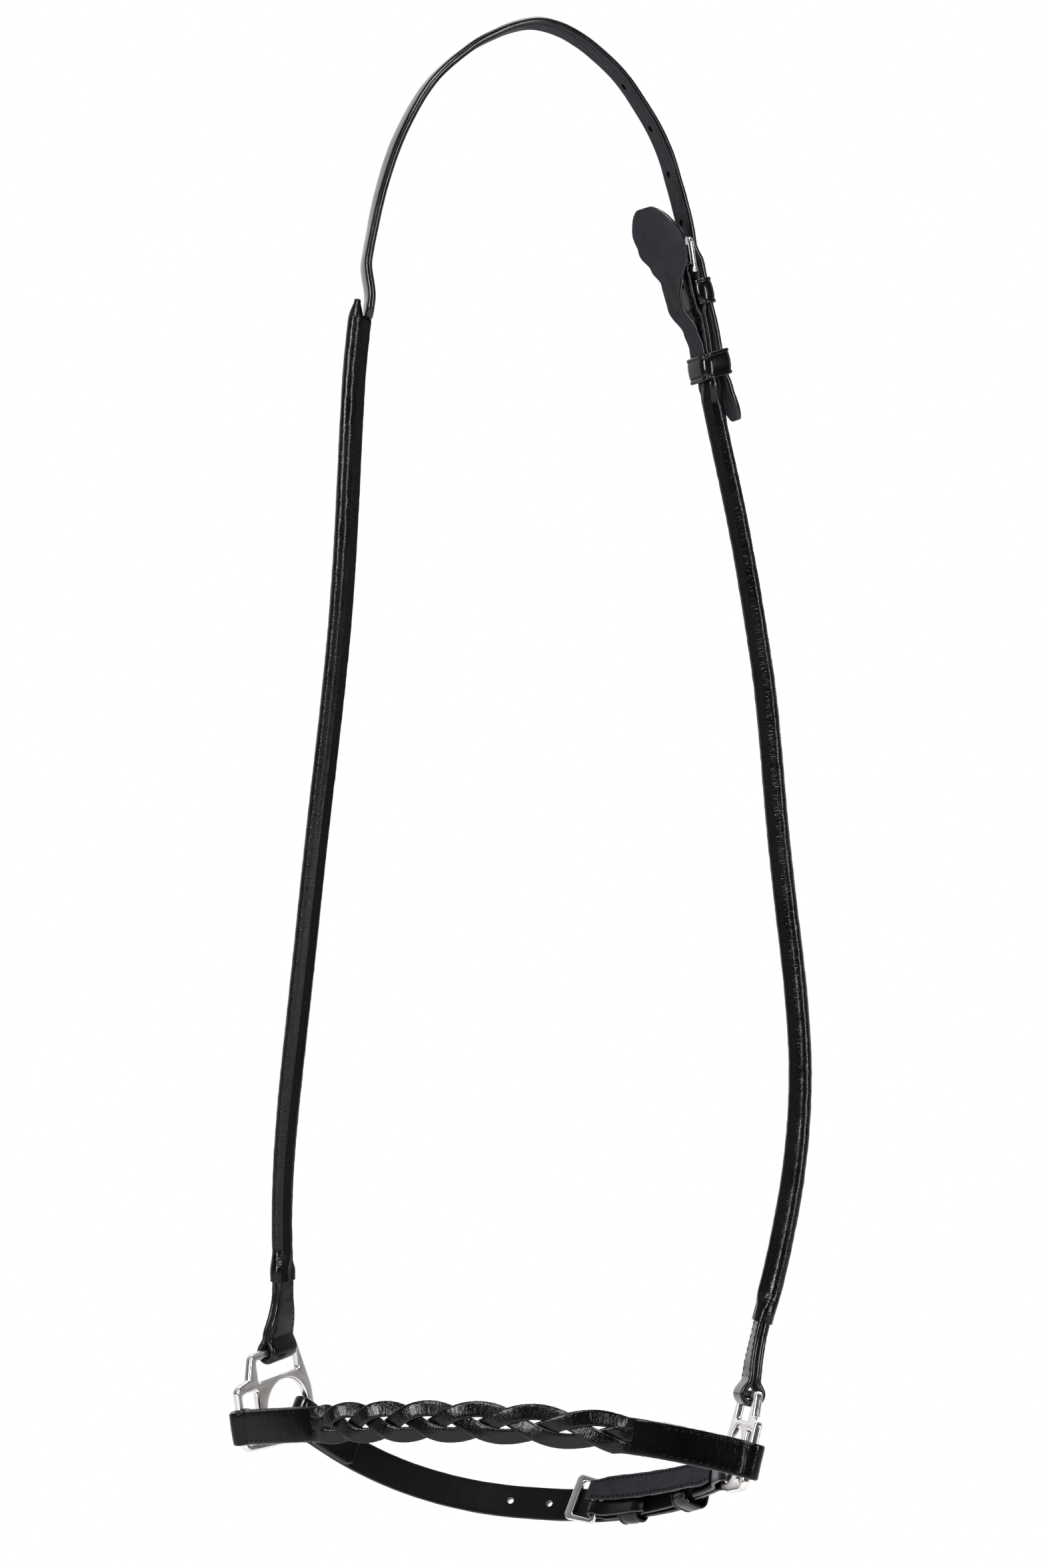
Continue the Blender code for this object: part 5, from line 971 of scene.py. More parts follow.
def keeper_band(name, lane, place, low, billet, gap, half_width, body, shift=0.0, skew=0.0):
    """A band from low up to a gap over the billet, which is given by its height and thickness."""
    height, thick = billet
    high = max(height(place + KEEPER_LENGTH * s) for s in (-0.5, 0.0, 0.5)) + thick / 2 + gap
    point, along, across, out = lane.at(place)
    centre, tall = point + across * shift + out * (low + high) / 2, (high - low) / 2
    profile = [(s, KEEPER_WALL + d, KEEPER_ROUND) for s, d in KEEPER_PROFILE]
    profile += [(-s, grown, corner) for s, grown, corner in reversed(profile)]
    rings = []
    for share, grown, corner in profile + [(s, d, 0.0) for s, d in KEEPER_BORE]:
        w, h = half_width + grown, tall + grown
        rings.append([centre + across * x + out * y + along * (share * KEEPER_LENGTH + skew * y)
                      for x, y in rounded_box(-w, w, -h, h, KEEPER_CORNER + grown + corner, KEEPER_ARC)])
    dressed(name + "_band", rings, (GLAZED,), body, name + "_keeper", closed=True)


keeper_band("cheek_fixed", HEAD, CHEEK_HEEL + CHEEK_KEEPER_PLACE, KEEPER_WALL / 2, (crown_height, CROWN_THICK),
            SEAM_GAP, CROWN_WIDTH / 2 + SEAM_GAP, "headstall")
keeper_band("cheek_running", HEAD, CHEEK_HEEL + CHEEK_RUNNER_PLACE,
            -(CHAPE_HALF + CHAPE_THICK / 2 + SEAM_GAP + GUARD_THICK) - RUNNING_GAP, (crown_height, CROWN_THICK),
            RUNNING_GAP, CROWN_WIDTH / 2 + SEAM_GAP + RUNNING_GAP, "cheek_keeper", skew=CHEEK_RUNNER_SKEW)


# The cheek guard: a flap of unglazed leather behind the buckle, wide and round at the top, with a narrow
# tail that the running keeper holds. Its near edge widens and cups a little round the buckle's side.
CHEEK_GUARD_WIDTH, CHEEK_GUARD_REACH, CHEEK_GUARD_DEPTH = 0.0250, 0.0295, 0.0165
CHEEK_GUARD_TURN, CHEEK_GUARD_TAIL, TAIL_END = radians(-13), 0.0455, 0.001
CHEEK_GUARD_SHARES = (
    (-1.00, 1.00, 1.00, 1.0), (-0.70, 0.90, 1.00, 1.0), (-0.42, 0.77, 1.00, 0.8), (-0.14, 0.60, 0.86, 0.4),
    (0.10, 0.56, 0.56, 0.0), (0.46, 0.56, 0.48, 0.0), (0.88, 0.30, 0.43, 0.0),
)
CUP_DEPTH, CUP_RISE, CUP_END, CUP_FALL, CUP_POWER = 0.0030, 0.6, 0.42, 0.4, 4
COVER_WIDTH, COVER_RISE, COVER_END, COVER_FALL, COVER_POWER = 0.0042, 0.7, 0.22, 0.6, 1.5


def cheek_guard_row(place, column):
    rest = CHAPE_HALF + CHAPE_THICK / 2 + SEAM_GAP + GUARD_THICK / 2
    rows = [(row[0] * CHEEK_GUARD_REACH, row[column]) for row in CHEEK_GUARD_SHARES]
    if column == 1:
        rows.append((CHEEK_RUNNER_PLACE - KEEPER_LENGTH * 0.75, rest / CHEEK_GUARD_DEPTH))
        rows.append((CHEEK_GUARD_TAIL, rest / CHEEK_GUARD_DEPTH))
    return table(rows, place)


def swelling(size, share, rise, end, fall):
    """Rises to its size from the guard's top, and falls away again towards its tail."""
    return size * ease((share + 1.0) / rise) * ease((end - share) / fall)


guard_start = -CHEEK_GUARD_REACH
guard_marks = strap_marks(guard_start, CHEEK_GUARD_TAIL, CHEEK_GUARD_WIDTH / 2, TAIL_END)
guard_path, guard_sections = [], []
for m in guard_marks:
    guard_path.append((CHEEK_HEEL + m, -cheek_guard_row(m, 1) * CHEEK_GUARD_DEPTH))
    width = tip(cheek_guard_row(m, 2) * CHEEK_GUARD_WIDTH, m - guard_start, CHEEK_GUARD_WIDTH / 2)
    turn = cheek_guard_row(m, 3) * CHEEK_GUARD_TURN
    cupped = swelling(CUP_DEPTH, m / CHEEK_GUARD_REACH, CUP_RISE, CUP_END, CUP_FALL)
    covering = swelling(COVER_WIDTH, m / CHEEK_GUARD_REACH, COVER_RISE, COVER_END, COVER_FALL)
    thick = end_thick(GUARD_THICK, min(m - guard_start, CHEEK_GUARD_TAIL - m))
    section = []
    for w, h in strap_section(width, thick):
        near = max(-w / width * 2, 0)
        w, h = w - covering * near ** COVER_POWER, h + cupped * near ** CUP_POWER
        section.append((w * cos(turn) - h * sin(turn), w * sin(turn) + h * cos(turn)))
    guard_sections.append(section)
dressed("cheek_guard_leather", rings_along(HEAD, guard_path, guard_sections), SOFT_FINISH, "headstall",
        "cheek_buckle_guard", slots=STRAP_SLOTS, crease=(0.00022, 0.009, 0.008), seed=4.4)


# The nosepiece: one strap, folded round both fittings and sewn, slit in three between its flat ends and
# plaited. The strands are drawn across each other, which presses fine creases into their glazed faces.
NOSE_WIDTH, NOSE_THICK, NOSE_EYE_CLEARANCE, NOSE_STEPS = 0.0148, 0.0026, 0.00045, 240
NOSE_DROP = {-1: 0.0275, 1: 0.0265}
NOSE_BOW, NOSE_RISE, NOSE_RISE_SKEW_SHARE, NOSE_LEAN_BACK = 0.028, 0.0149, 0.28, 0.10
NOSE_FOLD_BACK, NOSE_CUT = 0.038, (0.0008, 0.0003, 0.0)
NOSE_SEAM_START, NOSE_SEAM_END, NOSE_SEAM_INSET, NOSE_SEAM_LIFT = 0.8, 0.002, 0.0019, 0.48
BRAID_HALF_WIDTH, BRAID_LIFT = 0.0054, 0.00170
BRAID_STRAND_WIDTH, BRAID_STRAND_THICK, STRAND_SIDES = 0.0065, 0.0020, 28
BRAID_START, BRAID_LOBE_START, BRAID_LOBE_END, BRAID_LOBES = 0.0518, 0.0157, 0.0280, 6
BRAID_LEAD, BRAID_INSERT, STRAND_SQUARE_SHARE, LEAD_STEPS = 0.0050, 0.0080, 0.50, 12
SUNK_SHARES, SUNK_THIN, SLIT_NARROW, SLIT_THIN = (0.2, 0.4, 0.6, 0.8, 1.0), 0.85, 0.06, 0.45
STRAND_TURN, STRAND_PASS = radians(16), radians(11)
BRAID_STEPS, THIRD = 300, 2 * pi / 3
NOSE_FINISH, PRESSED_GRAIN = (CREASED, DULL, DYED_EDGE, PRESSED), 3


def on_ring(side, rear, up):
    bar, rear_way, up_way, _ = ring_place(side)
    return bar + rear_way * rear + up_way * up


def nose_lane():
    middle = -(NOSE_BAR_OUTER + NOSE_BAR_INNER) / 2
    start, end = on_ring(-1, middle, -NOSE_DROP[-1]), on_ring(1, middle, -NOSE_DROP[1])
    forward = noseband_direction(0, -1, 0)
    line = []
    for k in range(NOSE_STEPS + 1):
        s = k / NOSE_STEPS
        arch = 4 * s * (1 - s)
        rise = NOSE_RISE * (1 + NOSE_RISE_SKEW_SHARE * (2 * s - 1))
        line.append(between(start, end, s) + forward * NOSE_BOW * arch + UP * rise * arch)

    def across(s):
        ends = between(ring_place(-1)[2], ring_place(1)[2], ease(s))
        return between(ends, unit(UP - forward * NOSE_LEAN_BACK), ease(min(s, 1 - s) * 4))

    return Lane(line, across)


def braid_place(turn):
    """Distance along the nosepiece at this turn of the plait; its lobes lengthen towards the near side."""
    lobes = turn / THIRD
    growth = (BRAID_LOBE_END - BRAID_LOBE_START) * lobes**2 / (2 * BRAID_LOBES)
    return BRAID_START + BRAID_LOBE_START * lobes + growth


NOSE = nose_lane()
NOSE_HALF = SEAM_GAP / 2 + NOSE_THICK / 2
NOSE_BAR_ROUND = hypot((NOSE_BAR_OUTER - NOSE_BAR_INNER) / 2 - CAST_EDGE, CAST_THICK / 2 - CAST_EDGE) + CAST_EDGE
NOSE_EYE = NOSE_BAR_ROUND + NOSE_EYE_CLEARANCE + NOSE_THICK / 2
BRAID_TURN = THIRD * BRAID_LOBES
plait_start, plait_end = BRAID_START - BRAID_LEAD, braid_place(BRAID_TURN) + BRAID_LEAD


def braid_marks():
    """Every station of a strand: its place, its turn, and how far it has left the flat end."""
    lead = [k / LEAD_STEPS for k in range(LEAD_STEPS)]
    turns = [BRAID_TURN * k / BRAID_STEPS for k in range(BRAID_STEPS + 1)]
    return [*[(plait_start - BRAID_INSERT * s, 0.0, 0.0) for s in reversed(SUNK_SHARES)],
            *[(BRAID_START - BRAID_LEAD * (1 - s), 0.0, ease(s)) for s in lead],
            *[(braid_place(turn), turn, 1.0) for turn in turns],
            *[(braid_place(BRAID_TURN) + BRAID_LEAD * (1 - s), BRAID_TURN, ease(s)) for s in reversed(lead)],
            *[(plait_end + BRAID_INSERT * s, BRAID_TURN, 0.0) for s in SUNK_SHARES]]


def braid_strand(number):
    """A flat strand with two broad faces and full rounded edges, passing over and under the others."""
    line = []
    for place, turn, lift in braid_marks():
        phase = turn + number * THIRD
        point, _, across, out = NOSE.at(place)
        sunk = min(max((place - BRAID_START + BRAID_LEAD) / BRAID_INSERT, -1.0), 0.0)
        sunk = min(sunk, max((plait_end - place) / BRAID_INSERT, -1.0))
        spread = between(NOSE_WIDTH / 3 / sin(THIRD), BRAID_HALF_WIDTH, lift)
        point = point + across * spread * sin(phase) + out * (NOSE_HALF + BRAID_LIFT * lift * sin(2 * phase))
        line.append((point, across, out, phase, lift, 1 - SUNK_THIN * ease(-sunk)))
    turns = [2 * pi * (k + 0.5) / STRAND_SIDES for k in range(STRAND_SIDES)]
    section = squared(BRAID_STRAND_WIDTH / 2 * 1.03, BRAID_STRAND_THICK / 2, turns, STRAND_SQUARE_SHARE,
                      STRAND_SQUARE_SHARE * 1.2)
    rings = []
    for i, (point, across, out, phase, lift, swell) in enumerate(line):
        ahead = unit(line[min(i + 1, len(line) - 1)][0] - line[max(i - 1, 0)][0])
        side = unit(across - ahead * np.dot(across, ahead))
        face = np.cross(ahead, side)
        turn = lift * (STRAND_TURN * sin(phase) - STRAND_PASS * cos(phase))
        point = point - out * lift * BRAID_STRAND_WIDTH / 4 * sin(STRAND_TURN * abs(sin(phase)))
        side, face = side * cos(turn) - face * sin(turn), face * cos(turn) + side * sin(turn)
        drawn = between(NOSE_WIDTH / 3 / BRAID_STRAND_WIDTH, 1.0, lift)
        rings.append([point + side * w * drawn + face * h * swell for w, h in section])
    return dressed(f"strand_{number + 1}", rings, NOSE_FINISH[:3], None, crease=(0.00009, 0.0009, 0.0035),
                   seed=number * 5.3)


def cut_steps(flank, reach, cuts):
    """Steps along a folded layer, closing up towards its cut end."""
    return fold_steps(flank, reach - cuts[0]) + [reach - d for d in cuts[1:]]


def nose_end(name, centre, way, finish, seed):
    """A flat end folded round its fitting, its long layer running on to where the slits begin."""
    short, long = cut_steps(0.0, NOSE_FOLD_BACK, NOSE_CUT), fold_steps(0.0, abs(finish - centre))
    layers = closing(0.0, NOSE_EYE, NOSE_HALF)
    path = fold(centre, way, NOSE_EYE, (short, long), layers)
    sections = []
    for i, (m, _) in enumerate(path):
        thick = NOSE_THICK if i > 3 else end_thick(NOSE_THICK, NOSE_FOLD_BACK - abs(m - centre))
        slit = ease(1 + (abs(m - centre) - abs(finish - centre)) / BRAID_INSERT) if i > len(short) else 0.0
        sections.append(strap_section(NOSE_WIDTH * (1 - SLIT_NARROW * slit), thick * (1 - SLIT_THIN * slit)))
    seam = (EYE_SPREAD * NOSE_SEAM_START, NOSE_FOLD_BACK - NOSE_SEAM_END)
    sew_fold("plain", "noseband", NOSE, centre, way, seam, layers, lambda m: NOSE_WIDTH, NOSE_SEAM_INSET,
             NOSE_THICK * NOSE_SEAM_LIFT)
    slots = [PRESSED_GRAIN if slot == GRAIN else slot for slot in (STRAP_SLOTS if way > 0 else TURNED_SLOTS)]
    return dressed(name, rings_along(NOSE, path, sections), NOSE_FINISH, None, slots=slots,
                   crease=(0.00009, 0.0016, 0.006), seed=seed)


def joined(name, pieces, body, *replaced):
    """Merges finished pieces into one, each a closed skin of its own."""
    shape = bmesh.new()
    for piece in pieces:
        shape.from_mesh(piece.data)
    finishes = list(pieces[0].data.materials)
    for piece in pieces:
        bpy.data.objects.remove(piece)
    return new_piece(name, finished(name, shape), finishes, body, *replaced)


joined("plaited_nosepiece", [nose_end("nose_off_end", 0.0, 1, plait_start, 1.9),
                             nose_end("nose_near_end", NOSE.length, -1, plait_end, 6.6),
                             *[braid_strand(number) for number in range(3)]], "noseband", "braided_nosepiece")


# The chin strap: a long lined half folded round the off fitting's ring, and a short half folded round the
# near ring and the buckle. Two holes show before the buckle, and the long half is stitched along its edges.
CHIN_WIDTH, CHIN_THICK, CHIN_RADIAL = 0.0150, 0.0024, 0.01045
CHIN_EYE_CLEARANCE, CHIN_NEAR_CLEARANCE = 0.0005, 0.0009
CHIN_LEAVE = {-1: radians(39.5), 1: radians(40.0)}
CHIN_NEAR_AIM, CHIN_SLOPE, CHIN_STEPS = radians(24.0), radians(34.0), 300
CHIN_OFF_HANDLE, CHIN_NEAR_HANDLE, CHIN_SAG, CHIN_NEAR_LIFT = 0.112, 0.100, 0.0104, 0.0179
CHIN_FOLD_BACK, CHIN_NEAR_LENGTH, CHIN_NEAR_FOLD = 0.036, 0.0988, 0.030
CHIN_CUT = (0.001, 0.0007, 0.0004, 0.0002, 0.0)
CHIN_NECK, CHIN_TAIL, SHORT_TIP_EASE, SHORT_TIP = 0.0022, 0.0665, 0.0012, 0.005
CHIN_HOLE_PITCH, CHIN_HOLE_FIRST = 0.0185, 0.0266
CHIN_FRAME_SKEW, CHIN_SKEW_REACH, CHIN_FRAME_FLARE = radians(-14), 0.030, 0.0008
CHIN_FRAME_LIFT, CHIN_LIFT_REACH = -0.0006, 0.070
CHIN_KEEPER_PLACE, CHIN_RUNNER_PLACE = 0.0176, 0.0585
PRICK_START, PRICK_END, PRICK_STEP, PRICK_INSET, PRICK_LIFT = 0.004, 0.012, 0.003, 0.0016, 0.52
CHIN_SEAM_END, CHIN_SEAM_INSET, CHIN_SEAM_LIFT = 0.0025, 0.0019, 0.54


def chin_start(side):
    """Where the chin strap's fold sits in a ring, the way it leaves, and its width there."""
    bar, rear, upward, facing = ring_place(side)
    leave = unit(rear * cos(CHIN_LEAVE[side]) - upward * sin(CHIN_LEAVE[side]))
    tangent = np.cross(facing, leave)
    if tangent[2] > 0:
        tangent = -tangent
    return bar - upward * RING_HOLE_DROP + leave * CHIN_RADIAL, leave, tangent


def chin_lane():
    a, off_leave, off_width = chin_start(-1)
    d, _, near_width = chin_start(1)
    _, near_rear, near_up, _ = ring_place(1)
    aim = near_rear * cos(CHIN_NEAR_AIM) - near_up * sin(CHIN_NEAR_AIM)
    b = a + off_leave * CHIN_OFF_HANDLE - UP * CHIN_SAG
    c = d + aim * CHIN_NEAR_HANDLE + UP * CHIN_NEAR_LIFT
    line = [a * (1 - s) ** 3 + 3 * b * s * (1 - s) ** 2 + 3 * c * s**2 * (1 - s) + d * s**3
            for s in (k / CHIN_STEPS for k in range(CHIN_STEPS + 1))]
    middle = noseband_direction(0, -sin(CHIN_SLOPE), -cos(CHIN_SLOPE))
    return Lane(line, lambda s: between(off_width if s < 0.5 else near_width, middle, ease(min(s, 1 - s) * 3)))


CHIN = chin_lane()
CHIN_HEEL = CHIN.length - CHIN_NEAR_LENGTH
CHIN_HALF = SEAM_GAP / 2 + CHIN_THICK / 2
CHIN_EYE = CAST_THICK / 2 + CHIN_EYE_CLEARANCE + CHIN_THICK / 2
CHIN_NEAR_EYE = CAST_THICK / 2 + CHIN_NEAR_CLEARANCE + CHAPE_THICK / 2
CHIN_FLANK = RIM_REACH + CHIN_EYE_CLEARANCE - CHIN_RADIAL
CHIN_HEEL_EYE = HEEL_EYE + SEAM_GAP
OVER_CHIN_FRONT = FRAME_THICK / 2 + SEAM_GAP + CHIN_THICK / 2
OVER_CHIN_HEEL = CHIN_HEEL_EYE + CHAPE_THICK / 2 + SEAM_GAP + CHIN_THICK / 2
CHIN_RISE = (
    (CHIN_HEEL - FRAME_LENGTH * 2.5, CHIN_HALF), (CHIN_HEEL - FRAME_LENGTH, OVER_CHIN_FRONT),
    (CHIN_HEEL - FRAME_LENGTH * 0.8, OVER_CHIN_FRONT), (CHIN_HEEL - HEEL_EYE, OVER_CHIN_HEEL),
    (CHIN_HEEL + CHIN_TAIL, OVER_CHIN_HEEL),
)


def chin_height(place):
    """How far off its lane the long half runs, lying over the buckle and the short half."""
    return table(CHIN_RISE, place)


def chin_askew(place):
    """The buckle hangs a little askew and high, and the short half that holds it too."""
    away = place - CHIN_HEEL
    turn = CHIN_FRAME_SKEW * (1 - ease(abs(away) / CHIN_SKEW_REACH))
    return turn, -CHIN_FRAME_LIFT * (1 - ease(away / CHIN_LIFT_REACH))


chin_end, chin_tip = CHIN_HEEL + CHIN_TAIL, CROWN_END_TIP * 2
chin_layers = closing(CHIN_FLANK, CHIN_EYE, CHIN_HALF)
short = cut_steps(CHIN_FLANK, CHIN_FOLD_BACK, CHIN_CUT)
long = fold_steps(CHIN_FLANK, CHIN_HEEL - FRAME_LENGTH * 2.5)
chin_run = spread_steps(long[-1], chin_end - chin_tip, FINE_STEP)[1:-1] + end_marks(chin_end, 1, chin_tip)[::-1]
chin_path = fold(0.0, 1, CHIN_EYE, (short, long), chin_layers) + [(m, chin_height(m)) for m in chin_run]
chin_sections = []
for i, (m, _) in enumerate(chin_path):
    inner = i < len(short)
    gone = (CHIN_FOLD_BACK if inner else chin_end) - m
    width = tip(CHIN_WIDTH, gone + SHORT_TIP_EASE, SHORT_TIP) if inner else tip(CHIN_WIDTH, gone, chin_tip)
    chin_sections.append(strap_section(width, end_thick(CHIN_THICK, gone)))
off_chin = dressed("off_chin_leather", rings_along(CHIN, chin_path, chin_sections), (GLAZED, LINING_AND_FLANGE_SHADE, DYED_EDGE),
                   "chin_strap", "off_chin_strap", slots=STRAP_SLOTS, crease=(0.00008, 0.008, 0.010), seed=9.1)
chin_holes = [CHIN_HEEL - CHIN_HOLE_FIRST - CHIN_HOLE_PITCH * k for k in (0, 1, -2, -3)]
used = CHIN_HEEL - TONGUE_HOLE
for holes, length, width in ((chin_holes, HOLE_ACROSS, HOLE_ACROSS),
                             ([used], TONGUE_HOLE_LENGTH, TONGUE_HOLE_WIDTH)):
    punched(off_chin, CHIN, [(m, chin_height(m)) for m in holes], length, width, CHIN_THICK)
pricked = spread_steps(CHIN_FOLD_BACK + PRICK_START, chin_end - PRICK_END, PRICK_STEP)
for side in (-1, 1):
    for face in (-1, 1):
        sew("tiny", "chin_strap", CHIN, [(m, chin_height(m)) for m in pricked],
            side * (CHIN_WIDTH / 2 - PRICK_INSET), face * CHIN_THICK * PRICK_LIFT)
sew_fold("plain", "chin_strap", CHIN, 0.0, 1, (CHIN_FLANK + EYE_SPREAD, CHIN_FOLD_BACK - CHIN_SEAM_END),
         chin_layers, lambda m: CHIN_WIDTH, CHIN_SEAM_INSET, CHIN_THICK * CHIN_SEAM_LIFT)

heel_steps = fold_steps(0.0, CHIN_NEAR_FOLD)
near_path = fold(CHIN_HEEL, 1, CHIN_HEEL_EYE, (heel_steps, heel_steps),
                 round_keeper(CHIN_HEEL_EYE, CHAPE_HALF, CHIN_KEEPER_PLACE))
near_run = spread_steps(heel_steps[-1], CHIN_NEAR_LENGTH - CHIN_FLANK - EYE_SPREAD, FINE_STEP)
near_path += [(CHIN_HEEL + m, CHAPE_HALF) for m in near_run[1:-1]]
near_path += fold(CHIN.length, -1, CHIN_NEAR_EYE, (fold_steps(CHIN_FLANK, CHIN_FLANK + EYE_SPREAD),
                                                   fold_steps(CHIN_FLANK, CHIN_NEAR_FOLD)),
                  closing(CHIN_FLANK, CHIN_NEAR_EYE, CHAPE_HALF), main_side=-1)
near_sections = [strap_section(between(CHIN_WIDTH - CHIN_NECK, CHIN_WIDTH, ease((m - CHIN_HEEL) / EYE_SPREAD)),
                               CHAPE_THICK) for m, _ in near_path]
near_chin = dressed("near_chin_leather", rings_along(CHIN, near_path, near_sections, chin_askew),
                    (GLAZED, LINING_AND_FLANGE_SHADE, DYED_EDGE), "chin_strap", "near_chin_strap", slots=STRAP_SLOTS,
                    crease=(0.00008, 0.004, 0.008), seed=2.8)
cut_tongue_slot(near_chin, CHIN, CHIN_HEEL)
buckle_frame("chin_buckle_casting", CHIN, CHIN_HEEL, CHIN_WIDTH, "chin_strap", "chin_buckle_frame",
             chin_askew(CHIN_HEEL), CHIN_FRAME_FLARE)
buckle_tongue("chin_tongue_wire", CHIN, CHIN_HEEL, chin_height, CHIN_THICK, "chin_tongue", "chin_buckle_tongue")
under_runner = -CHAPE_HALF - CHAPE_THICK / 2 - RUNNING_GAP
for name, body, away, low, gap in (("chin_fixed", "chin_strap", CHIN_KEEPER_PLACE, KEEPER_WALL / 2, SEAM_GAP),
                                   ("chin_running", "chin_keeper", CHIN_RUNNER_PLACE, under_runner, RUNNING_GAP)):
    aside = chin_askew(CHIN_HEEL + away)[1] / 2
    keeper_band(name, CHIN, CHIN_HEEL + away, low, (chin_height, CHIN_THICK), gap,
                CHIN_WIDTH / 2 + abs(aside) + RUNNING_GAP, body, aside)


# The chin guard: a soft unglazed strip on the inner side of the buckle, sewn along both edges with long
# black stitches, so that the metal doesn't touch the chin.
CHIN_GUARD_WIDTH, CHIN_GUARD_LIFT, CHIN_GUARD_THICK = 0.0114, 0.0042, 0.0020
CHIN_GUARD_START, CHIN_GUARD_LENGTH, GUARD_NARROWED = 0.004, 0.0865, 0.8
GUARD_SEAM_END, GUARD_SEAM_INSET, GUARD_SEAM_LIFT = 0.003, 0.0014, 0.47
GUARD_REST = -(CHAPE_HALF + CHAPE_THICK / 2 + SEAM_GAP + CHIN_GUARD_THICK / 2)
GUARD_HEEL = -(CHIN_HEEL_EYE + CHAPE_THICK / 2 + SEAM_GAP + CHIN_GUARD_THICK / 2)
OVER_RUNNER = GUARD_REST - KEEPER_WALL - 2 * RUNNING_GAP
GUARD_RISE = ((-CHIN_GUARD_START, GUARD_HEEL), (CHIN_KEEPER_PLACE + KEEPER_LENGTH, GUARD_HEEL),
              (CHIN_RUNNER_PLACE - KEEPER_LENGTH, OVER_RUNNER), (CHIN_RUNNER_PLACE + KEEPER_LENGTH, OVER_RUNNER),
              (CHIN_GUARD_LENGTH, GUARD_REST))
GUARD_END_WIDTH = CHIN_GUARD_WIDTH * GUARD_NARROWED
GUARD_WIDTHS = ((-CHIN_GUARD_START, GUARD_END_WIDTH), (CHIN_KEEPER_PLACE / 2, CHIN_GUARD_WIDTH),
                (CHIN_GUARD_LENGTH * 0.9, CHIN_GUARD_WIDTH), (CHIN_GUARD_LENGTH, GUARD_END_WIDTH))


def guard_aside(place):
    return -CHIN_GUARD_LIFT * ease(1 - (place - CHIN_HEEL) / CHIN_GUARD_LENGTH)


def guard_run(marks):
    return [(CHIN_HEEL + m, table(GUARD_RISE, m)) for m in marks]


marks = strap_marks(-CHIN_GUARD_START, CHIN_GUARD_LENGTH, TAIL_END, TAIL_END)
sections = []
for m in marks:
    thick = end_thick(CHIN_GUARD_THICK, min(m + CHIN_GUARD_START, CHIN_GUARD_LENGTH - m))
    section = strap_section(table(GUARD_WIDTHS, m), thick)
    sections.append([(w + guard_aside(CHIN_HEEL + m), h) for w, h in section])
dressed("chin_guard_leather", rings_along(CHIN, guard_run(marks), sections, chin_askew), SOFT_FINISH,
        "chin_strap", "chin_guard", slots=STRAP_SLOTS, crease=(0.00022, 0.007, 0.008), seed=6.1)
guard_seam = guard_run(spread_steps(0.0, CHIN_GUARD_LENGTH - GUARD_SEAM_END, SEWING_STEP))
for side in (-1, 1):
    for face in (-1, 1):
        sew("long", "chin_strap", CHIN, guard_seam,
            lambda m: guard_aside(m) + side * (table(GUARD_WIDTHS, m - CHIN_HEEL) / 2 - GUARD_SEAM_INSET),
            face * CHIN_GUARD_THICK * GUARD_SEAM_LIFT, chin_askew)


# The thread work itself: fine saddle stitch on the headstall, plain stitch on the folded ends, pricks of
# thread along the chin strap's edges and long stitches on its guard.
lay_stitches("headstall_stitches", "fine", "headstall", STITCH_PITCH, STITCH_LENGTH, STITCH_THICK)
lay_stitches("nosepiece_stitches", "plain", "noseband", 0.0029, 0.0019, 0.00085)
lay_stitches("chin_strap_stitches", "plain", "chin_strap", 0.0029, 0.0019, 0.00080)
lay_stitches("chin_edge_stitches", "tiny", "chin_strap", 0.0018, 0.0009, 0.00050)
lay_stitches("chin_guard_stitches", "long", "chin_strap", 0.0030, 0.0023, 0.0013, slant=0.10)


# The room: the noseband hangs in front of a pale wall above a pale floor, under soft studio lamps. The
# camera stands level with its middle, as far off as the photograph's perspective asks.
FLOOR_LEVEL, ROOM_HALF = -0.95, 2.6
WHITE, PAPER = (1.0, 1.0, 1.0, 1.0), (0.86, 0.86, 0.86, 1.0)
SKY, GLINT = (0.80, 0.80, 0.82, 1.0), (0.97, 0.97, 1.0, 1.0)
LAMPS = (  # name, place, aim, width, height, power
    ("key_lamp", (-1.2, -1.45, 0.1), (0, 0, -0.35), 0.24, 0.90, 24.0),
    ("fill_lamp", (1.2, -1.2, -0.1), (0, 0, -0.35), 0.22, 1.00, 13.0),
    ("front_lamp", (-0.2, -1.2, 1.0), (0, 0, -0.35), 0.50, 0.30, 15.0),
    ("top_lamp", (0.1, 0.1, 1.3), (0, 0, -0.3), 0.6, 0.6, 12.0),
    ("back_lamp", (0.7, 1.6, 0.3), (0, 0, -0.35), 0.6, 0.8, 16.0),
)


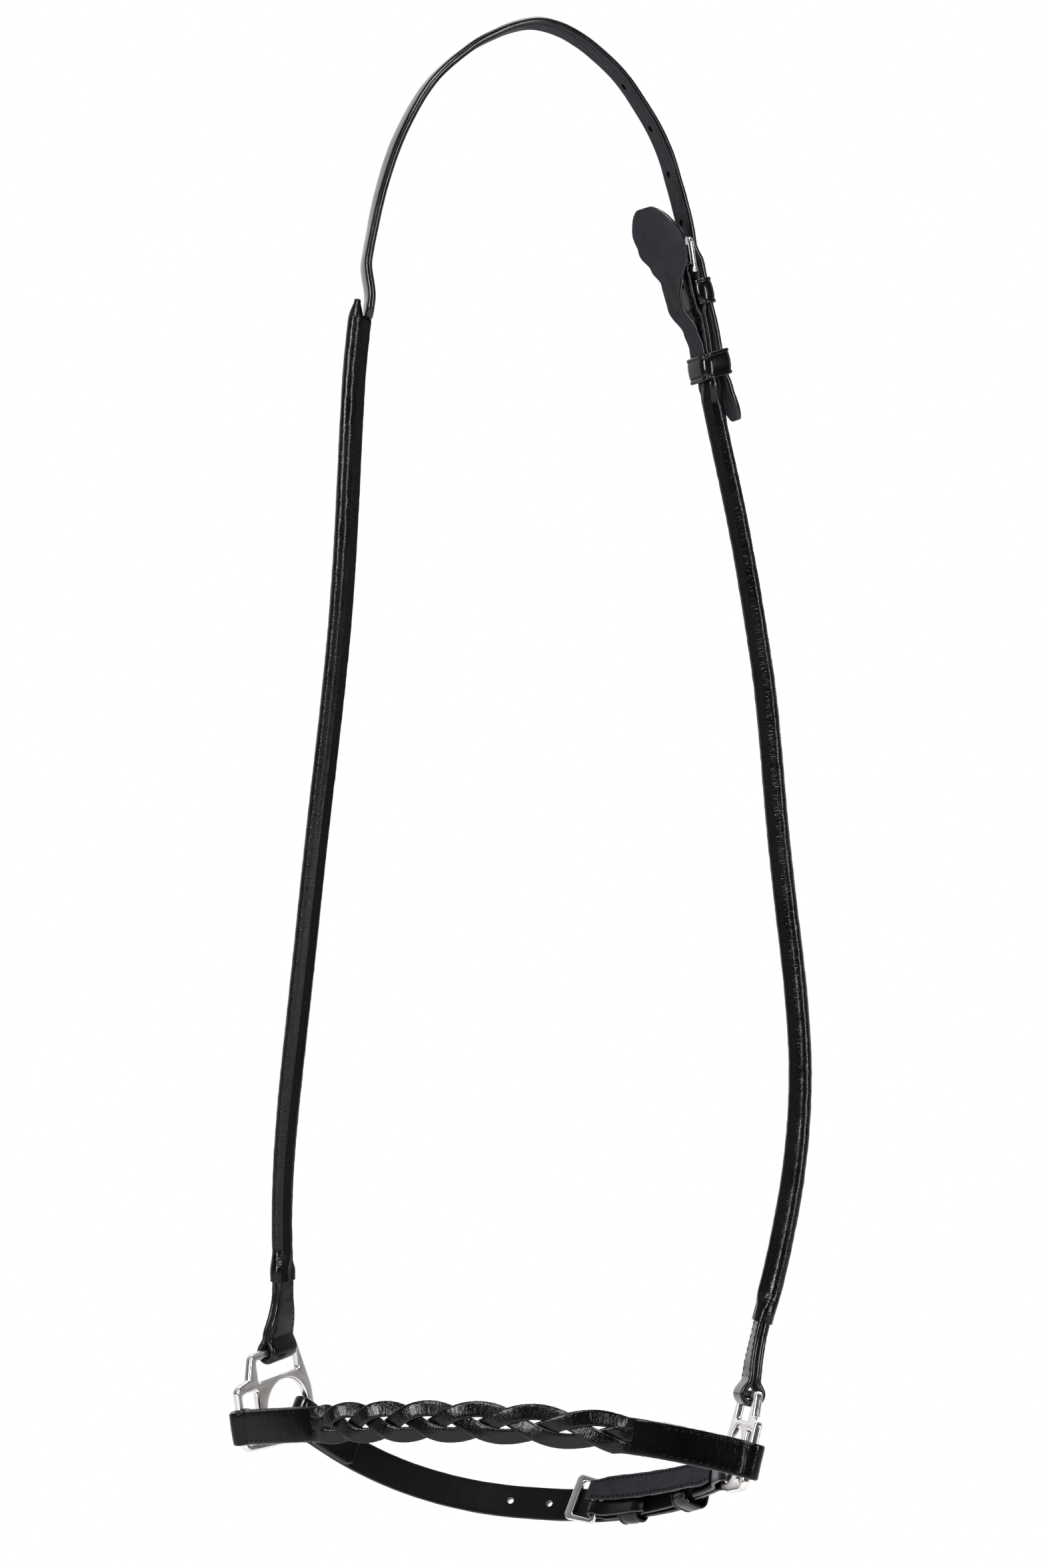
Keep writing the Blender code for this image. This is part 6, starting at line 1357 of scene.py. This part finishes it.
def plain_surface(name, colour):
    """A pale surface that the camera sees as white and that still takes light for the object's sake."""
    made, tree, shader = new_material(name, Base_Color=colour, Roughness=0.9)
    white = node(tree, "Emission", {"Color": WHITE, "Strength": 1.0})
    seen = node(tree, "MixShader", {0: node(tree, "LightPath").outputs["Is Camera Ray"], 1: shader, 2: white})
    wire(tree, tree.nodes["Material Output"], {"Surface": seen})
    return made


mesh = bpy.data.meshes.new("floor")
mesh.from_pydata([(x * ROOM_HALF, y * ROOM_HALF, FLOOR_LEVEL) for x, y in ((-1, -1), (1, -1), (1, 1), (-1, 1))],
                 [], [(0, 1, 2, 3)])
floor = new_piece("floor", mesh, (plain_surface("pale_paper", PAPER),), None)

world = bpy.data.worlds.new("studio")
world.use_nodes = True
bpy.context.scene.world = world
tree = world.node_tree
backdrop = tree.nodes["Background"]
wire(tree, backdrop, {"Color": SKY, "Strength": 0.22})
looked = node(tree, "SeparateXYZ", {0: node(tree, "TexCoord").outputs["Generated"]})
behind = node(tree, "MapRange", {"Value": looked.outputs["Y"], "From Min": -0.35, "From Max": 0.75,
                                 "To Min": 0.04, "To Max": 0.95}, interpolation_type="SMOOTHSTEP")
mirrored = node(tree, "Background", {"Color": GLINT, "Strength": behind})
white = node(tree, "Background", {"Color": WHITE, "Strength": 1.0})
ray = node(tree, "LightPath").outputs
glint = node(tree, "MixShader", {0: ray["Is Glossy Ray"], 1: backdrop, 2: mirrored})
seen = node(tree, "MixShader", {0: ray["Is Camera Ray"], 1: glint, 2: white})
wire(tree, tree.nodes["World Output"], {"Surface": seen})

for name, place, aim, width, height, power in LAMPS:
    light = bpy.data.lights.new(name, "AREA")
    light.shape, light.size, light.size_y, light.energy = "RECTANGLE", width, height, power
    lamp = linked(name, light)
    lamp.location = place
    lamp.rotation_euler = (Vector(aim) - Vector(place)).to_track_quat("-Z", "Y").to_euler()

view = bpy.data.cameras.new("camera")
view.sensor_fit, view.sensor_height, view.lens = "VERTICAL", 36.0, 68.65
camera = linked("camera", view)
camera.location, camera.rotation_euler = (-0.0046, -1.3, -0.3291), (radians(90), 0.0, 0.0)
bpy.context.scene.camera = camera
bpy.context.scene.view_settings.view_transform = "Standard"
